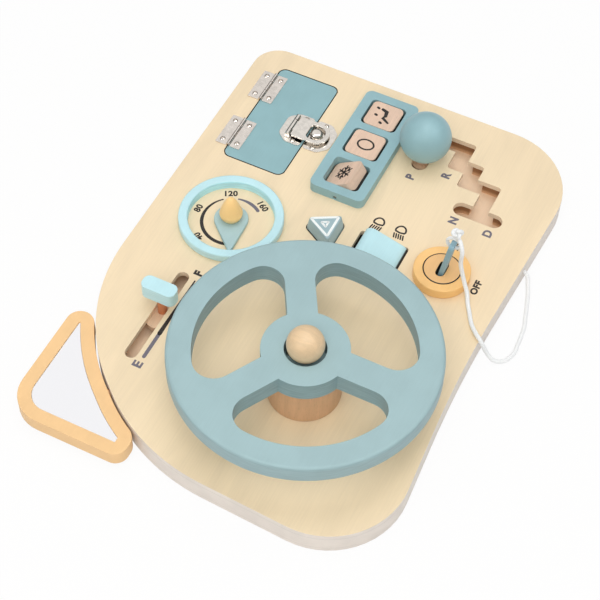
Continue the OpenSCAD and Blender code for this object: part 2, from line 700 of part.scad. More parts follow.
module gear_ball() color([0.52, 0.69, 0.73]) difference() {
    translate([lever_x, lever_y, ball_z]) sphere(r = ball_d / 2);
    rod(lever_x, lever_y, ball_z - ball_d, lever_d / 2 + fix_gap, ball_d - ball_in);
    rod(lever_x, lever_y, ball_z - ball_d, ball_d, ball_d / 2 + 0.6);
}
module gear_stem() color([0.85, 0.68, 0.50])
    rod(lever_x, lever_y, foot_z + 0.5, lever_d / 2, ball_z - ball_in - foot_z - 0.55);
module gear_foot() color([0.80, 0.62, 0.45]) difference() {
    rod(lever_x, lever_y, foot_z, foot_r, foot_t);
    rod(lever_x, lever_y, foot_z + 0.4, lever_d / 2 + fix_gap, foot_t);
}

// ---- Fuel slider ----

fuel_r = fuel_w / 2;
slide_gap = 0.8;
slide_t = 4;
slide_z = z_lip - face_gap - slide_t;
handle_z = z_top + handle_lift;
slide_r = slide_w / 2;
pocket_low = fuel_low + fuel_r - slide_l / 2 - slide_gap;
pocket_high = fuel_high - fuel_r + slide_l / 2 + slide_gap;

module fuel_handle() color([0.80, 0.94, 0.97]) difference() {
    slab(rect_at(fuel_x - 1, fuel_y, handle_l, handle_w, handle_w / 2 - 1), handle_z, handle_t);
    rod(fuel_x, fuel_y, handle_z - eps, slider_d / 2 + fix_gap, handle_t - 3);
}
module fuel_stem() color([0.80, 0.50, 0.33])
    rod(fuel_x, fuel_y, slide_z + 0.5, slider_d / 2, handle_z + handle_t - 3 - slide_z - 0.7);
module fuel_plate() color([0.80, 0.68, 0.57]) difference() {
    slab(rect_at(fuel_x, fuel_y, slide_w, slide_l, slide_r - 0.01), slide_z, slide_t);
    rod(fuel_x, fuel_y, slide_z + 0.4, slider_d / 2 + fix_gap, slide_t);
}

// ---- Hazard button ----

// A triangle that points to -X, grown by d
function triangle(d) = grown([[hazard_x - hazard_side * sqrt(3) / 2, hazard_y, 0],
    [hazard_x, hazard_y - hazard_side / 2, 0], [hazard_x, hazard_y + hazard_side / 2, 0]], d);
function soft_triangle(d, r) = [for (p = triangle(d)) [p[0], p[1], r]];
hazard_gap = 0.8;
flange_t = 2.6;
flange_z = z_lip - face_gap - flange_t;
hazard_mid_x = hazard_x - hazard_side * sqrt(3) / 6;

module hazard_button() color([0.68, 0.75, 0.74]) {
    slab(soft_triangle(hazard_flare, 3.5), flange_z + flange_t - eps, top_t + face_gap + 1 + eps);
    slab(soft_triangle(hazard_flare + hazard_gap + 1.8, 5), flange_z, flange_t);
    hull() {
        slab(soft_triangle(hazard_flare, 3.5), z_top + 1 - eps, 0.5);
        slab(soft_triangle(hazard_flare * 0.35, 1.6), z_top + hazard_h - 1, 0.5);
        slab(soft_triangle(0, 1.2), z_top + hazard_h - 0.5, 0.5);
    }
}
module hazard_spring() color("silver")
    tube(helix(hazard_mid_x, hazard_y, z_core + 0.8, flange_z - 0.8, 4, 3, 14), 0.5, 6);

// ---- Lights rocker ----

rocker_z = z_lip - rocker_pin_d / 2 - 0.4;
rocker_down = 3;
rocker_pin_r = rocker_pin_d / 2;
rocker_hole_w = rocker_l + 2 * rocker_gap;
rocker_hole_l = rocker_w + 1.2;
pin_in = 4;

module light_rocker() color([0.75, 0.92, 0.94]) translate([rocker_x, rocker_y, rocker_z]) rotate([0, rocker_tilt, 0])
    difference() {
        rotate([90, 0, 0]) translate([0, 0, -rocker_w / 2]) linear_extrude(rocker_w) polygon(rounded([
            [-rocker_l / 2, rocker_up, 6], [-rocker_l / 2, -rocker_down, 2.8],
            [rocker_l / 2, -rocker_down, 2.8], [rocker_l / 2, rocker_up, 6]]));
        rod_y(0, -rocker_w, rocker_w, 0, rocker_pin_r + run_gap);
    }
module rocker_pin() color([0.85, 0.68, 0.50]) rod_y(rocker_x, rocker_y - rocker_hole_l / 2 - pin_in,
    rocker_y + rocker_hole_l / 2 + pin_in, rocker_z, rocker_pin_r);

// ---- Ignition, key and cord ----

barrel_r = barrel_d / 2;
barrel_flange = 2.5;
flange_h = 3;
barrel_z = z_lip - face_gap - flange_h;
// The key's own frame: its foot is at the origin and its axis along Z
key_foot = [ign_x - 0.7, ign_y, z_lip + 1.2];
module key_frame() translate(key_foot) rotate([0, key_lean, 0]) children();
cord_r = cord_d / 2;
loop_r = 1.2;
key_hole_r = loop_r + 0.8;
key_hole_at = key_l - key_hole_r - 2;
loop_mean_r = 4.7;
loop_at = key_hole_at + loop_mean_r;
knot_at = loop_at + loop_mean_r + loop_r + 0.3 + knot_d / 2;
knot_pos = key_foot + knot_at * [sin(key_lean), 0, cos(key_lean)];

module ignition_ring() color([0.98, 0.79, 0.52]) translate([ign_x, ign_y, z_top])
    soft_ring(ign_d / 2, barrel_r + run_gap, ign_h, 0.9);
module ignition_barrel() color([0.97, 0.80, 0.56]) difference() {
    union() {
        translate([ign_x, ign_y, z_lip - face_gap - eps]) soft_disc(barrel_r, top_t + ign_h + face_gap + eps, 0.5);
        rod(ign_x, ign_y, barrel_z, barrel_r + barrel_flange, flange_h);
    }
    slab(rect_at(ign_x, ign_y, slot_w, slot_l, slot_w / 2 - 0.01), z_lip, top_t + ign_h + 1);
}
module key() color([0.47, 0.62, 0.67]) key_frame() difference() {
    translate([-key_t / 2, 0, 0]) rotate([90, 0, 90]) linear_extrude(key_t) polygon(rounded([
        [-key_w / 2, key_l, key_w / 2 - 1], [-key_w / 2, 0, 0.8], [key_w / 2, 0, 0.8],
        [key_w / 2, key_l, key_w / 2 - 1]]));
    translate([-key_t, 0, key_hole_at]) rotate([0, 90, 0]) cylinder(r = key_hole_r, h = 2 * key_t);
}
module key_loop() color([0.94, 0.93, 0.90]) key_frame() translate([0, 0, loop_at]) rotate([90, 0, 0])
    rotate_extrude() translate([loop_mean_r, 0]) circle(r = loop_r, $fn = 24);
module cord_knot() color([0.94, 0.93, 0.90]) translate(knot_pos) sphere(r = knot_d / 2);

// Route of the cord's middle, from its hole in the board's right edge to the knot on the key
cord_route = [[80, 163, 9], [85, 163, 9], [90, 163, 9], [93.5, 161, 7.8], [96, 156.5, 5.6], [98.5, 151, 3.4],
    [100.5, 145, 2.1], [102.5, 138.5, 1.6], [104.5, 131.5, 1.6], [106.5, 124.5, 1.6], [107.5, 117, 1.6],
    [108, 109, 1.6], [108.5, 102, 1.6], [107, 95.5, 1.6], [103.6, 90.4, 1.8], [98.8, 87.7, 3.3],
    [95.1, 87.2, 6.9], [92, 87.1, 11.3], [89.8, 86.6, 16.3], [86.9, 87.5, 19.8], [82.1, 90.8, 21.1],
    [76.6, 97.3, 20], [72, 105, 20], [68.1, 111.3, 20.7], [65.3, 116, 24], [62, 119, 28.5],
    [59.3, 120.4, 34.5], [57.5, 120.8, 40.5], [56.6, 120.1, 46.5], [56.6, 119.1, 52.2],
    [56.85, 118.64, 57.9], [56.44, 119.08, 61.14], [55.28, 120.31, 63.6], [53.56, 122.16, 65.2]];
cord_hole_gap = 0.2;

// A smooth curve through the route's points
function spline(p, i, t) =
    let (a = p[max(i - 1, 0)], b = p[i], c = p[i + 1], d = p[min(i + 2, len(p) - 1)])
    0.5 * (2 * b + (c - a) * t + (2 * a - 5 * b + 4 * c - d) * t * t + (3 * b - a - 3 * c + d) * t * t * t);
// The cord ends at the knot's surface, clear of the key's way out
cord_end = cord_route[len(cord_route) - 1];
cord_path = concat(cord_route, [knot_pos + (knot_d / 2 + 0.15) * unit(cord_end - knot_pos)]);
module key_cord() color([0.94, 0.93, 0.90]) tube(concat([for (i = [0 : len(cord_path) - 2], t = [0, 0.5])
    spline(cord_path, i, t)], [cord_path[len(cord_path) - 1]]), cord_r, 8);

// ---- Mirror ----

mirror_mid_z = z_top / 2;
mirror_z = mirror_mid_z - mirror_t / 2;
mirror_outer = [[-mirror_left, -mirror_top, 9.6], [-mirror_left, -mirror_bottom, 24],
    [-mirror_right, -mirror_bottom, 9], [-mirror_right, -60, 1], [-140, -mirror_top, 1]];
// Middle of the straight stretch between the board's two long curves, and the way out from it
edge_dir = unit(xy(board_corners[2]) - xy(board_corners[1]));
edge_out = [edge_dir[1], -edge_dir[0]];
function setback(a, b, c) = b[2] / tan(acos(unit(xy(a) - xy(b)) * unit(xy(c) - xy(b))) / 2);
edge_from = xy(board_corners[1]) + edge_dir * setback(board_corners[0], board_corners[1], board_corners[2]);
edge_to = xy(board_corners[2]) - edge_dir * setback(board_corners[1], board_corners[2], board_corners[3]);
edge_mid = (edge_from + edge_to) / 2;
dowel_in = 20;
dowel_out = mirror_gap + mirror_rim - 1.5;

module mirror_shape(inset, z, t) translate([0, 0, z]) linear_extrude(t) difference() {
    polygon(rounded(grown(mirror_outer, -inset)));
    polygon(rounded(grown(board_corners, mirror_gap + inset)));
}
module dowel(r, from, to) translate([edge_mid[0], edge_mid[1], mirror_mid_z])
    rotate([0, 0, atan2(edge_out[1], edge_out[0])]) rotate([0, 90, 0])
    translate([0, 0, from]) cylinder(r = r, h = to - from);

module mirror_frame() color([0.99, 0.82, 0.57]) difference() {
    mirror_shape(0, mirror_z, mirror_t);
    mirror_shape(mirror_rim, mirror_z + mirror_t - glass_t - glass_inset, glass_t + glass_inset + 1);
    dowel(dowel_d / 2 + fix_gap, 0, dowel_out + 0.1);
}
module mirror_plate() color([0.93, 0.94, 0.97])
    mirror_shape(mirror_rim + 0.15, mirror_z + mirror_t - glass_t - glass_inset, glass_t);
module mirror_dowel() color([0.85, 0.68, 0.50]) dowel(dowel_d / 2, -dowel_in, dowel_out);

// ---- Board ----

back_screw_at = [[-152, 260], [-154, 140], [-152, 30], [-84, -50], [-20, -80], [45, -84], [78, -50], [72, 40],
    [76, 160], [78, 235], [20, 260], [-90, 262], [-60, 100], [20, 80], [-88, 150]];
back_screw_r = 1.6;
back_screw_l = back_t + core_t * 0.6;
back_head_h = 1.8;

module back_holes(r, z, h) for (p = back_screw_at) rod(p[0], p[1], z, r, h);

module back_panel() color([0.88, 0.78, 0.66]) difference() {
    slab(board_corners, 0, back_t);
    back_holes(back_screw_r + fix_gap, -eps, back_t + 2 * eps);
    back_holes(back_head_d / 2 + fix_gap, -eps, back_head_h + eps);
}
module back_screws() color("silver") for (p = back_screw_at) {
    rod(p[0], p[1], 0.1, back_head_d / 2, back_head_h - 0.1);
    rod(p[0], p[1], 0.2, back_screw_r, back_screw_l);
}

core_cavity_h = core_t + 2 * eps;
module core_frame() color([0.90, 0.87, 0.84]) difference() {
    slab(board_corners, z_core, core_t);
    back_holes(back_screw_r + fix_gap, z_core - eps, back_screw_l - back_t + 0.3);
    // Room behind the door
    slab(grown(door_corners, -door_ledge), z_core - eps, core_cavity_h);
    // Room for the turning blocks
    slab(rect_at(frame_x, frame_y, window_w + 2, pocket_l + 1, 3), z_core - eps, core_cavity_h);
    // Rooms for the lever's foot and the slider's plate
    gate(foot_lip + 0.7, z_core - eps, core_cavity_h);
    slab(rect(fuel_x - slide_r - slide_gap, pocket_low, fuel_x + slide_r + slide_gap, pocket_high,
        slide_r + slide_gap - 0.01), z_core - eps, core_cavity_h);
    // Rooms for the column's retainer, the dial's clip and the barrel's flange
    rod(0, 0, z_core - eps, retainer_d / 2 + 1, core_cavity_h);
    rod(dial_x, dial_y, z_core - eps, axle_r + 5, core_cavity_h);
    rod(ign_x, ign_y, z_core - eps, barrel_r + barrel_flange + 1, core_cavity_h);
    // Rooms for the button and the rocker
    slab(soft_triangle(hazard_flare + hazard_gap + 2.6, 5.5), z_core - eps, core_cavity_h);
    slab(rect_at(rocker_x, rocker_y, rocker_hole_w + 1, rocker_hole_l, 2), z_core - eps, core_cavity_h);
    rod_y(rocker_x, rocker_y - rocker_hole_l / 2 - pin_in - 0.1, rocker_y + rocker_hole_l / 2 + pin_in + 0.1,
        rocker_z, rocker_pin_r + fix_gap);
    // Hole for the cord's end and the bore for the mirror's dowel
    translate(cord_route[0]) rotate([0, 90, 0]) cylinder(r = cord_r + cord_hole_gap, h = 20);
    dowel(dowel_d / 2 + run_gap, -dowel_in - 0.5, 10);
}

module top_panel() color([0.94, 0.87, 0.75]) difference() {
    slab(board_corners, z_lip, top_t);
    slab(grown(door_corners, door_gap), z_lip - eps, top_t + 2 * eps);
    slab(rect_at(frame_x, frame_y, window_w + 2, pocket_l + 1, 3), z_lip - eps, top_t + 2 * eps);
    gate(0, z_lip - eps, top_t + 2 * eps);
    slab(rect(fuel_x - fuel_r, fuel_low, fuel_x + fuel_r, fuel_high, fuel_r - 0.01), z_lip - eps, top_t + 2 * eps);
    rod(0, 0, z_lip - eps, spigot_d / 2 + run_gap, top_t + 2 * eps);
    rod(dial_x, dial_y, z_lip - eps, axle_r + run_gap, top_t + 2 * eps);
    rod(ign_x, ign_y, z_lip - eps, barrel_r + run_gap, top_t + 2 * eps);
    slab(soft_triangle(hazard_flare + hazard_gap, 4.3), z_lip - eps, top_t + 2 * eps);
    slab(rect_at(rocker_x, rocker_y, rocker_hole_w, rocker_hole_l, 2), z_lip - eps, top_t + 2 * eps);
    plate_screw_holes(frame_screws, plate_screw_l + 0.1);
    plate_screw_holes(latch_catch_at, plate_screw_l + 0.1);
}

top_panel();
core_frame();
back_panel();
back_screws();
steering_wheel();
steering_column();
hub_screws();
column_retainer();
column_screw();
horn_ball();
horn_stem();
horn_clip();
horn_spring();
speed_ring();
speed_pointer();
pointer_knob();
pointer_axle();
pointer_clip();
door();
hinge_frame_leaves();
hinge_door_leaves();
hinge_pins();
hinge_frame_screws();
hinge_door_screws();
latch_plate();
latch_loop();
latch_pin();
latch_catch();
latch_door_screws();
latch_catch_screws();
button_frame();
block_axle();
block_air();
block_oval();
block_snow();
gear_ball();
gear_stem();
gear_foot();
fuel_handle();
fuel_stem();
fuel_plate();
hazard_button();
hazard_spring();
light_rocker();
rocker_pin();
ignition_ring();
ignition_barrel();
key();
key_loop();
cord_knot();
key_cord();
mirror_frame();
mirror_plate();
mirror_dowel();
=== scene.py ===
import json
import math
from functools import reduce

import bpy
from mathutils import Matrix, Vector


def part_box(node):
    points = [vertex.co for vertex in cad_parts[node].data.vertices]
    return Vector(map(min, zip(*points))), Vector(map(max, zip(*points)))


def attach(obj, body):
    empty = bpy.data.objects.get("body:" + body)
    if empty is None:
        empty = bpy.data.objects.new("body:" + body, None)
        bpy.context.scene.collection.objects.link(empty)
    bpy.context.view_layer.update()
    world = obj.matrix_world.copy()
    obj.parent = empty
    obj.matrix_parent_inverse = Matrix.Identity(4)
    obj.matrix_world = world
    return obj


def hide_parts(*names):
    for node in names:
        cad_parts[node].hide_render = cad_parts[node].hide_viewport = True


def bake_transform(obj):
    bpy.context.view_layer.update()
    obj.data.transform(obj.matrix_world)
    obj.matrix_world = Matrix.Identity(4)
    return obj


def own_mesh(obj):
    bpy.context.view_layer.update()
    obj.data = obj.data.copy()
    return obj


bl_info = {
    "name": "Wooden busy board",
    "version": (1, 0, 0),
    "blender": (4, 5, 0),
    "location": "View3D > Sidebar > Busy board",
    "description": "Paints, woods, metal, cord and printed marks for a wooden busy board, and its studio",
    "category": "Object",
}

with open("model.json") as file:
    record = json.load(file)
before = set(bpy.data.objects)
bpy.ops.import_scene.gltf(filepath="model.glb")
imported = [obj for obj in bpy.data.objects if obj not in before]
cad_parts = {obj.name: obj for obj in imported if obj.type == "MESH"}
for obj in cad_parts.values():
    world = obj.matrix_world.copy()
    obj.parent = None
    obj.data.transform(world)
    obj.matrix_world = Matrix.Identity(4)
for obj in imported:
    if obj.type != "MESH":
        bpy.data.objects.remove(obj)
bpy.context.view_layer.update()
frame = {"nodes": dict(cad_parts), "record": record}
NODES = frame["nodes"]
SLOT_OF = {part["node"]: part["material_slot"] for part in frame["record"]["subparts"]}
BODY_OF = {node: body for body, nodes in frame["record"]["behaviour"]["bodies"].items() for node in nodes}
MM = 0.001
X, Y, Z = range(3)
WHITE = (1, 1, 1, 1)
# Ends the names of the materials that are made here
FINISHED = "_finish"

# Heights of the board's layers; places and lengths are in millimetres where nothing else is said
BACK_TOP = 3
LIP = 14
FACE = 18

# Boxes round the narrow gaps whose walls get painted shade: middle and half size in x and y, then the heights
# that the painted shade lies between
GAPS = (
    (-119.5, 205.75, 25.2, 49.3, 16.2, 25.4),  # door
    (-52, 205.75, 14.6, 47.6, 0, 25.4),  # button frame
    (-48.5, 124.9, 12, 13.5, 0, 25.4),  # hazard button
    (-4.9, 126, 19, 14, 0, 13.5),  # lights rocker
    (42.3, 126.6, 3.6, 7.4, 0, 25.4),  # key
)
# The band of painted shade on the blocks' sides, where they face the gaps: its top, and how far down it goes
BLOCK_TOP = 24.9
BLOCK_SHADE_BAND = 4
# The shade under the top panel's lip, and half the width of the glued joints
LIP_SHADE = (LIP - 10.5, LIP - 6.5)
JOINT = 0.2
# Middle, radius and half width of the shade painted in the groove between the ignition's ring and barrel
IGNITION_GROOVE = ((42.3, 126.6), 13, 0.45)
# Middles and radii that part the inner walls of the wheel and the dial's ring, which get their own painted
# shading, from the outer ones
WHEEL_INSIDE = ((0, 0), 73)
DIAL_INSIDE = ((-108, 104), 33)

# Half-planes beyond which only the board's outer wall lies: the way they face, and how far out they start
STRAIGHT_RIM = ((1, 0, 74), (-1, 0, 157), (0, 1, 263), (0, -1, 62), (-0.657, -0.754, 110))
CORNER_RIM = ((-0.906, -0.423, 130), (0.707, 0.707, 230))

# The mirror's sharp corners beside the board, and how the points between the two distances from them give way
MIRROR_CORNERS = (((-152.74, -7.6), (2.68, -4.93)), ((-81.6, -78.3), (-4.93, 2.71)))
CORNER_POINT = 0.5
CORNER_REACH = 4
# Edges that rise by more than this are the upright ones
UPRIGHT = 4
# Edges sharper than the first are rounded, and those flatter than the second are shaded smooth
SHARP = math.radians(40)
SOFT = math.radians(32)
# Points this close become one, and so do faces at this angle or less
WELD = 0.002
FLAT = math.radians(0.3)

# How deep printed marks reach under their surface
INK_ROOT = 0.05
# Radius of the springs' wire
WIRE = 0.5

# Camera: its place, its axes to the right, up and back, and its focal length and frame in pixels
CAMERA_PLACE = (238.51, -522.33, 886.65)
CAMERA_AXES = ((0.89649065, 0.44273589, 0.01701333), (-0.36428578, 0.71469338, 0.59708395),
               (0.25219117, -0.54147789, 0.80199832))
FOCAL_PIXELS = 1603.3
FRAME_PIXELS = 600
# Lamps, in metres like the floor below: name, place, width, power, share of gleam and tint
LAMPS = (
    ("soft_lamp", (-0.15, 0.4, 1.6), 1.0, 4.5, 0.35, (1, 1, 1)),
    ("fill_lamp", (0.22, -0.75, 1.35), 1.2, 10.5, 0, (1, 0.94, 0.87)),
)
LAMP_TARGET = (-0.03, 0.09, 0.02)
FLOOR_REACH = 3.0
# Strength of the even light from all round, and directions of the bright windows that metal mirrors
AMBIENT = 0.615
WINDOWS = ((-0.427, -0.697, 0.574), (0.036, -0.111, 0.993), (0.52, 0.134, 0.843))

# Where the cord leaves its hole in the board's right edge, where it lifts off, and the route of its middle
CORD_EXIT = (90, 163, 9)
CORD_LIFTS = (65.3, 116, 24)
CORD_ROUTE = [
    (80, 163, 9), (85, 163, 9), CORD_EXIT, (93.5, 161, 7.8), (96, 156.5, 5.6), (98.5, 151, 3.4),
    (100.5, 145, 2.1), (102.5, 138.5, 1.6), (104.5, 131.5, 1.6), (106.5, 124.5, 1.6), (107.5, 117, 1.6),
    (108, 109, 1.6), (108.5, 102, 1.6), (107, 95.5, 1.6), (103.6, 90.4, 1.8), (98.8, 87.7, 3.3),
    (95.1, 87.2, 6.9), (92, 87.1, 11.3), (89.8, 86.6, 16.3), (86.9, 87.5, 19.8), (82.1, 90.8, 21.1),
    (76.6, 97.3, 20), (72, 105, 20), (68.1, 111.3, 20.7), CORD_LIFTS, (62, 119, 28.5),
    (59.3, 120.4, 34.5), (57.5, 120.8, 40.5), (56.6, 120.1, 46.5), (56.6, 119.1, 52.2),
    (56.85, 118.64, 57.9), (56.44, 119.08, 61.14), (55.28, 120.31, 63.6), (53.56, 122.16, 65.2),
]
CORD_WIDTH = 3.0
# How far the key leans, in degrees
KEY_LEAN = 8.5


def colour(name, description, *red_green_blue):
    """A colour that the user can change, as it looks, from 0 to 255."""
    return bpy.props.FloatVectorProperty(
        name=name, description=description, subtype="COLOR_GAMMA", size=3, min=0, max=1,
        default=[level / 255 for level in red_green_blue])


def size(name, description, millimetres):
    """A length that the user can change."""
    return bpy.props.FloatProperty(
        name=name, description=description, subtype="DISTANCE", unit="LENGTH", min=0, precision=5,
        default=millimetres * MM)


class BoardColours(bpy.types.PropertyGroup):
    """Colours of the board's woods, paints and inks"""

    birch: colour("Birch face", "Lacquered face of the board", 241, 221, 187)
    edge: colour("Board edge", "Sanded and sealed outer edge of the board", 229, 221, 213)
    # Pale tone of the sawn edge, made lighter still as painted light on the cut-outs' walls
    lip: colour("Lip", "Sawn edge of the top panel in the cut-outs", 248, 228, 200)
    core: colour("Core", "Walls of the cut-outs under the top panel", 222, 182, 144)
    # Lighter than the birch face: painted light that offsets the shade on the cut-outs' floor
    cut_floor: colour("Cut floor", "Floor that is seen through the cut-outs", 254, 228, 198)
    under: colour("Under the lip", "Shaded top of the cut-outs' walls", 139, 91, 51)
    # Colour of the shade painted on the walls of the narrow gaps, and in the ignition's groove
    gap: colour("Gap", "Dark edges in the narrow gaps round the moving pieces", 52, 50, 48)
    wheel: colour("Wheel", "Steering wheel", 156, 185, 190)
    # Painted shade on the walls of the wheel's openings
    wheel_wall_shade: colour("Wheel openings", "Walls of the openings in the wheel", 134, 165, 173)
    aqua: colour("Aqua", "Dial ring, slider handle and lights rocker", 194, 234, 243)
    # Painted shading on the wall inside the dial ring, bluer than the aqua
    ring_wall_shade: colour("Dial wall", "Wall inside the dial ring", 184, 238, 252)
    pointer: colour("Pointer", "Pointer of the dial", 172, 202, 206)
    honey: colour("Honey", "Pointer's knob", 255, 214, 146)
    door: colour("Door", "Door of the compartment", 144, 183, 190)
    frame: colour("Button frame", "Frame of the flip blocks and the lever's ball", 146, 184, 192)
    block: colour("Blocks", "Flip blocks", 229, 199, 177)
    beech: colour("Beech", "Column, stems and dowels", 214, 172, 134)
    ball: colour("Natural ball", "Horn ball in the hub", 230, 201, 162)
    sage: colour("Sage", "Hazard button", 158, 185, 193)
    mustard: colour("Mustard", "Ignition ring", 252, 203, 133)
    barrel: colour("Barrel", "Ignition's barrel", 240, 192, 132)
    key: colour("Key", "Key leaf", 142, 178, 193)
    orange: colour("Orange", "Slider's stem", 205, 132, 92)
    plain: colour("Plain wood", "Slider's plate, and the lever's stem and foot", 226, 194, 164)
    apricot: colour("Apricot", "Mirror frame", 242, 202, 148)
    mirror: colour("Mirror", "Safety mirror sheet", 243, 243, 246)
    nickel: colour("Nickel", "Hinges", 222, 214, 206)
    chrome: colour("Chrome", "Latch", 222, 216, 208)
    steel: colour("Steel", "Screws, clips and springs", 164, 152, 140)
    cord: colour("Cord", "Key cord", 246, 249, 251)
    ink: colour("Dark ink", "Printed letters and lines", 28, 20, 17)
    grey_ink: colour("Grey ink", "Printed gear letters and the pale parts of the scales", 106, 102, 114)
    white_ink: colour("White ink", "Triangles on the hazard button", 240, 246, 246)


class BoardSizes(bpy.types.PropertyGroup):
    """Roundings of the edges, and sizes of the printed marks"""

    board_edge: size("Board edge", "Rounding of the board's outer top edge", 2.0)
    cut_edge: size("Cut edge", "Rounding of the cut-outs, and of the slider's stem and plate", 0.5)
    paint_edge: size("Painted edge", "Rounding of the column, the pointer and the button frame", 0.7)
    metal_edge: size("Metal edge", "Rounding of the metal leaves", 0.25)
    wheel_edge: size("Wheel edge", "Rounding of the steering wheel", 1.6)
    door_edge: size("Door edge", "Rounding of the door", 1.4)
    block_edge: size("Block edge", "Rounding of the flip blocks", 0.9)
    handle_edge: size("Handle edge", "Rounding of the slider's handle", 1.6)
    hazard_edge: size("Hazard edge", "Rounding of the hazard button", 0.5)
    rocker_edge: size("Rocker edge", "Rounding of the lights rocker", 1.1)
    ignition_edge: size("Ignition edge", "Rounding of the ignition's ring and barrel", 0.45)
    key_edge: size("Key edge", "Rounding of the key", 0.6)
    mirror_edge: size("Mirror edge", "Rounding of the mirror frame", 1.3)
    mirror_corner: size("Mirror corner", "Radius of the mirror frame's corners", 6.0)
    ink: size("Ink", "Thickness of the printed marks", 0.05)
    line: size("Icon line", "Width of the icons' lines", 1.2)


# ---- Node trees ----

class Socket:
    """An output of a node; sums on it add Math nodes."""

    def __init__(self, tree, socket):
        self.tree, self.socket = tree, socket

    def maths(self, operation, *values):
        return self.tree.node("ShaderNodeMath", {"operation": operation}, dict(enumerate(values)))

    def __add__(self, other):
        return self.maths("ADD", self, other)

    def __sub__(self, other):
        return self.maths("SUBTRACT", self, other)

    def __rsub__(self, other):
        return self.maths("SUBTRACT", other, self)

    def __mul__(self, other):
        return self.maths("MULTIPLY", self, other)

    __radd__, __rmul__ = __add__, __mul__

    def __gt__(self, other):
        return self.maths("GREATER_THAN", self, other)

    def __lt__(self, other):
        return self.maths("LESS_THAN", self, other)

    def either(self, other):
        return self.maths("MAXIMUM", self, other)

    def unsigned(self):
        return self.maths("ABSOLUTE", self)

    def root(self):
        return self.maths("SQRT", self)

    def spread(self, low, high):
        """0 below low and 1 above high, with a smooth rise between them."""
        return self.tree.node("ShaderNodeMapRange", {"interpolation_type": "SMOOTHSTEP"},
                              {"Value": self, "From Min": low, "From Max": high})


class Tree:
    """A node tree under construction."""

    def __init__(self, node_tree):
        self.node_tree = node_tree
        node_tree.nodes.clear()

    def node(self, kind, settings=None, sockets=None, out=0):
        """Adds a node, makes its settings, then fills its sockets with values or links.

        Gives the output that out names, or a list of outputs where out is a tuple."""
        made = self.node_tree.nodes.new(kind)
        for name, value in (settings or {}).items():
            setattr(made, name, value)
        for name, value in (sockets or {}).items():
            if isinstance(value, Socket):
                self.node_tree.links.new(value.socket, made.inputs[name])
            else:
                made.inputs[name].default_value = value
        if isinstance(out, tuple):
            return [Socket(self, made.outputs[name]) for name in out]
        return Socket(self, made.outputs[out]) if len(made.outputs) else None

    def mix(self, share, first, second):
        return self.node("ShaderNodeMix", {"data_type": "RGBA"}, {0: share, 6: first, 7: second}, out=2)

    def vector(self, operation, first, second, out=0):
        return self.node("ShaderNodeVectorMath", {"operation": operation}, {0: first, 1: second}, out=out)

    def parts(self, vector):
        """The three parts of a vector."""
        return self.node("ShaderNodeSeparateXYZ", {}, {0: vector}, out=("X", "Y", "Z"))

    def rays(self):
        """1 each for the camera's own rays, mirrored rays and rays through glass."""
        return self.node("ShaderNodeLightPath", out=("Is Camera Ray", "Is Glossy Ray", "Is Transmission Ray"))


class Finish(Tree):
    """A material that is laid out in millimetres of the board's own frame."""

    def __init__(self, name):
        self.material = bpy.data.materials.new(name + FINISHED)
        self.material.use_nodes = True
        super().__init__(self.material.node_tree)
        self.place = self.node("ShaderNodeTexCoord", out="Object")

    def stretched(self, along, stretch):
        """The place, drawn out along one axis."""
        scale = [1 / MM] * 3
        scale[along] /= stretch
        return self.vector("MULTIPLY", self.place, scale)

    def xyz(self):
        """The place's three parts."""
        return self.parts(self.stretched(Y, 1))

    def noise(self, per_mm, along=Y, stretch=1, detail=3, rough=0.5, bend=0):
        """Noise with that many features to a millimetre, drawn out along the grain."""
        return self.node("ShaderNodeTexNoise", {}, {
            "Vector": self.stretched(along, stretch), "Scale": per_mm, "Detail": detail, "Roughness": rough,
            "Distortion": bend})

    def shades(self, share, shade, low, high):
        """A colour that goes from low to high times its brightness as share goes from 0 to 1."""
        return self.mix(share, linear(shade, low), linear(shade, high))

    def steep(self, low=0.55, high=0.8):
        """1 on sides and 0 on faces that look up or down."""
        up = self.parts(self.node("ShaderNodeTexCoord", out="Normal"))[Z]
        return 1 - up.unsigned().spread(low, high)

    def in_gap(self, top=None):
        """1 on the walls of the narrow gaps, where shade is painted; where top is given, below it, and on
        tilted walls too.
        """
        x, y, z = self.xyz()
        inside = reduce(Socket.either, (
            ((x - middle_x).unsigned() < half_x) * ((y - middle_y).unsigned() < half_y)
            * (z > bottom) * (z < (top or own_top))
            for middle_x, middle_y, half_x, half_y, bottom, own_top in GAPS))
        return inside * (self.steep() if top else self.steep(0.9, 0.995))

    def around(self, centre, radius, half):
        """1 on an upright ring about centre, half of its width to each side of radius."""
        x, y, z = self.xyz()
        far = ((x - centre[X]) * (x - centre[X]) + (y - centre[Y]) * (y - centre[Y])).root()
        return (far - radius).unsigned() < half

    def surface(self, base, roughness, relief, depth, **fixed):
        """Ends the finish; relief is a height from 0 to 1 and depth its full height in millimetres."""
        bump = self.node("ShaderNodeBump", {}, {"Strength": 1, "Distance": depth * MM, "Height": relief})
        return self.ends_in(self.node("ShaderNodeBsdfPrincipled", {}, {
            "Base Color": base, "Roughness": roughness, "Normal": bump, **fixed}))

    def ends_in(self, shader):
        self.node("ShaderNodeOutputMaterial", {}, {"Surface": shader})
        return self.material


def linear(shade, lift=1.0):
    """A colour as written, turned into the light that Blender counts with, and made lift times as bright."""
    return [(level / 12.92 if level <= 0.04045 else ((level + 0.055) / 1.055) ** 2.4) * lift
            for level in shade] + [1]


def beyond(x, y, planes):
    """1 beyond any of the half-planes."""
    return reduce(Socket.either, (x * ahead_x + y * ahead_y > far for ahead_x, ahead_y, far in planes))


# ---- Finishes ----

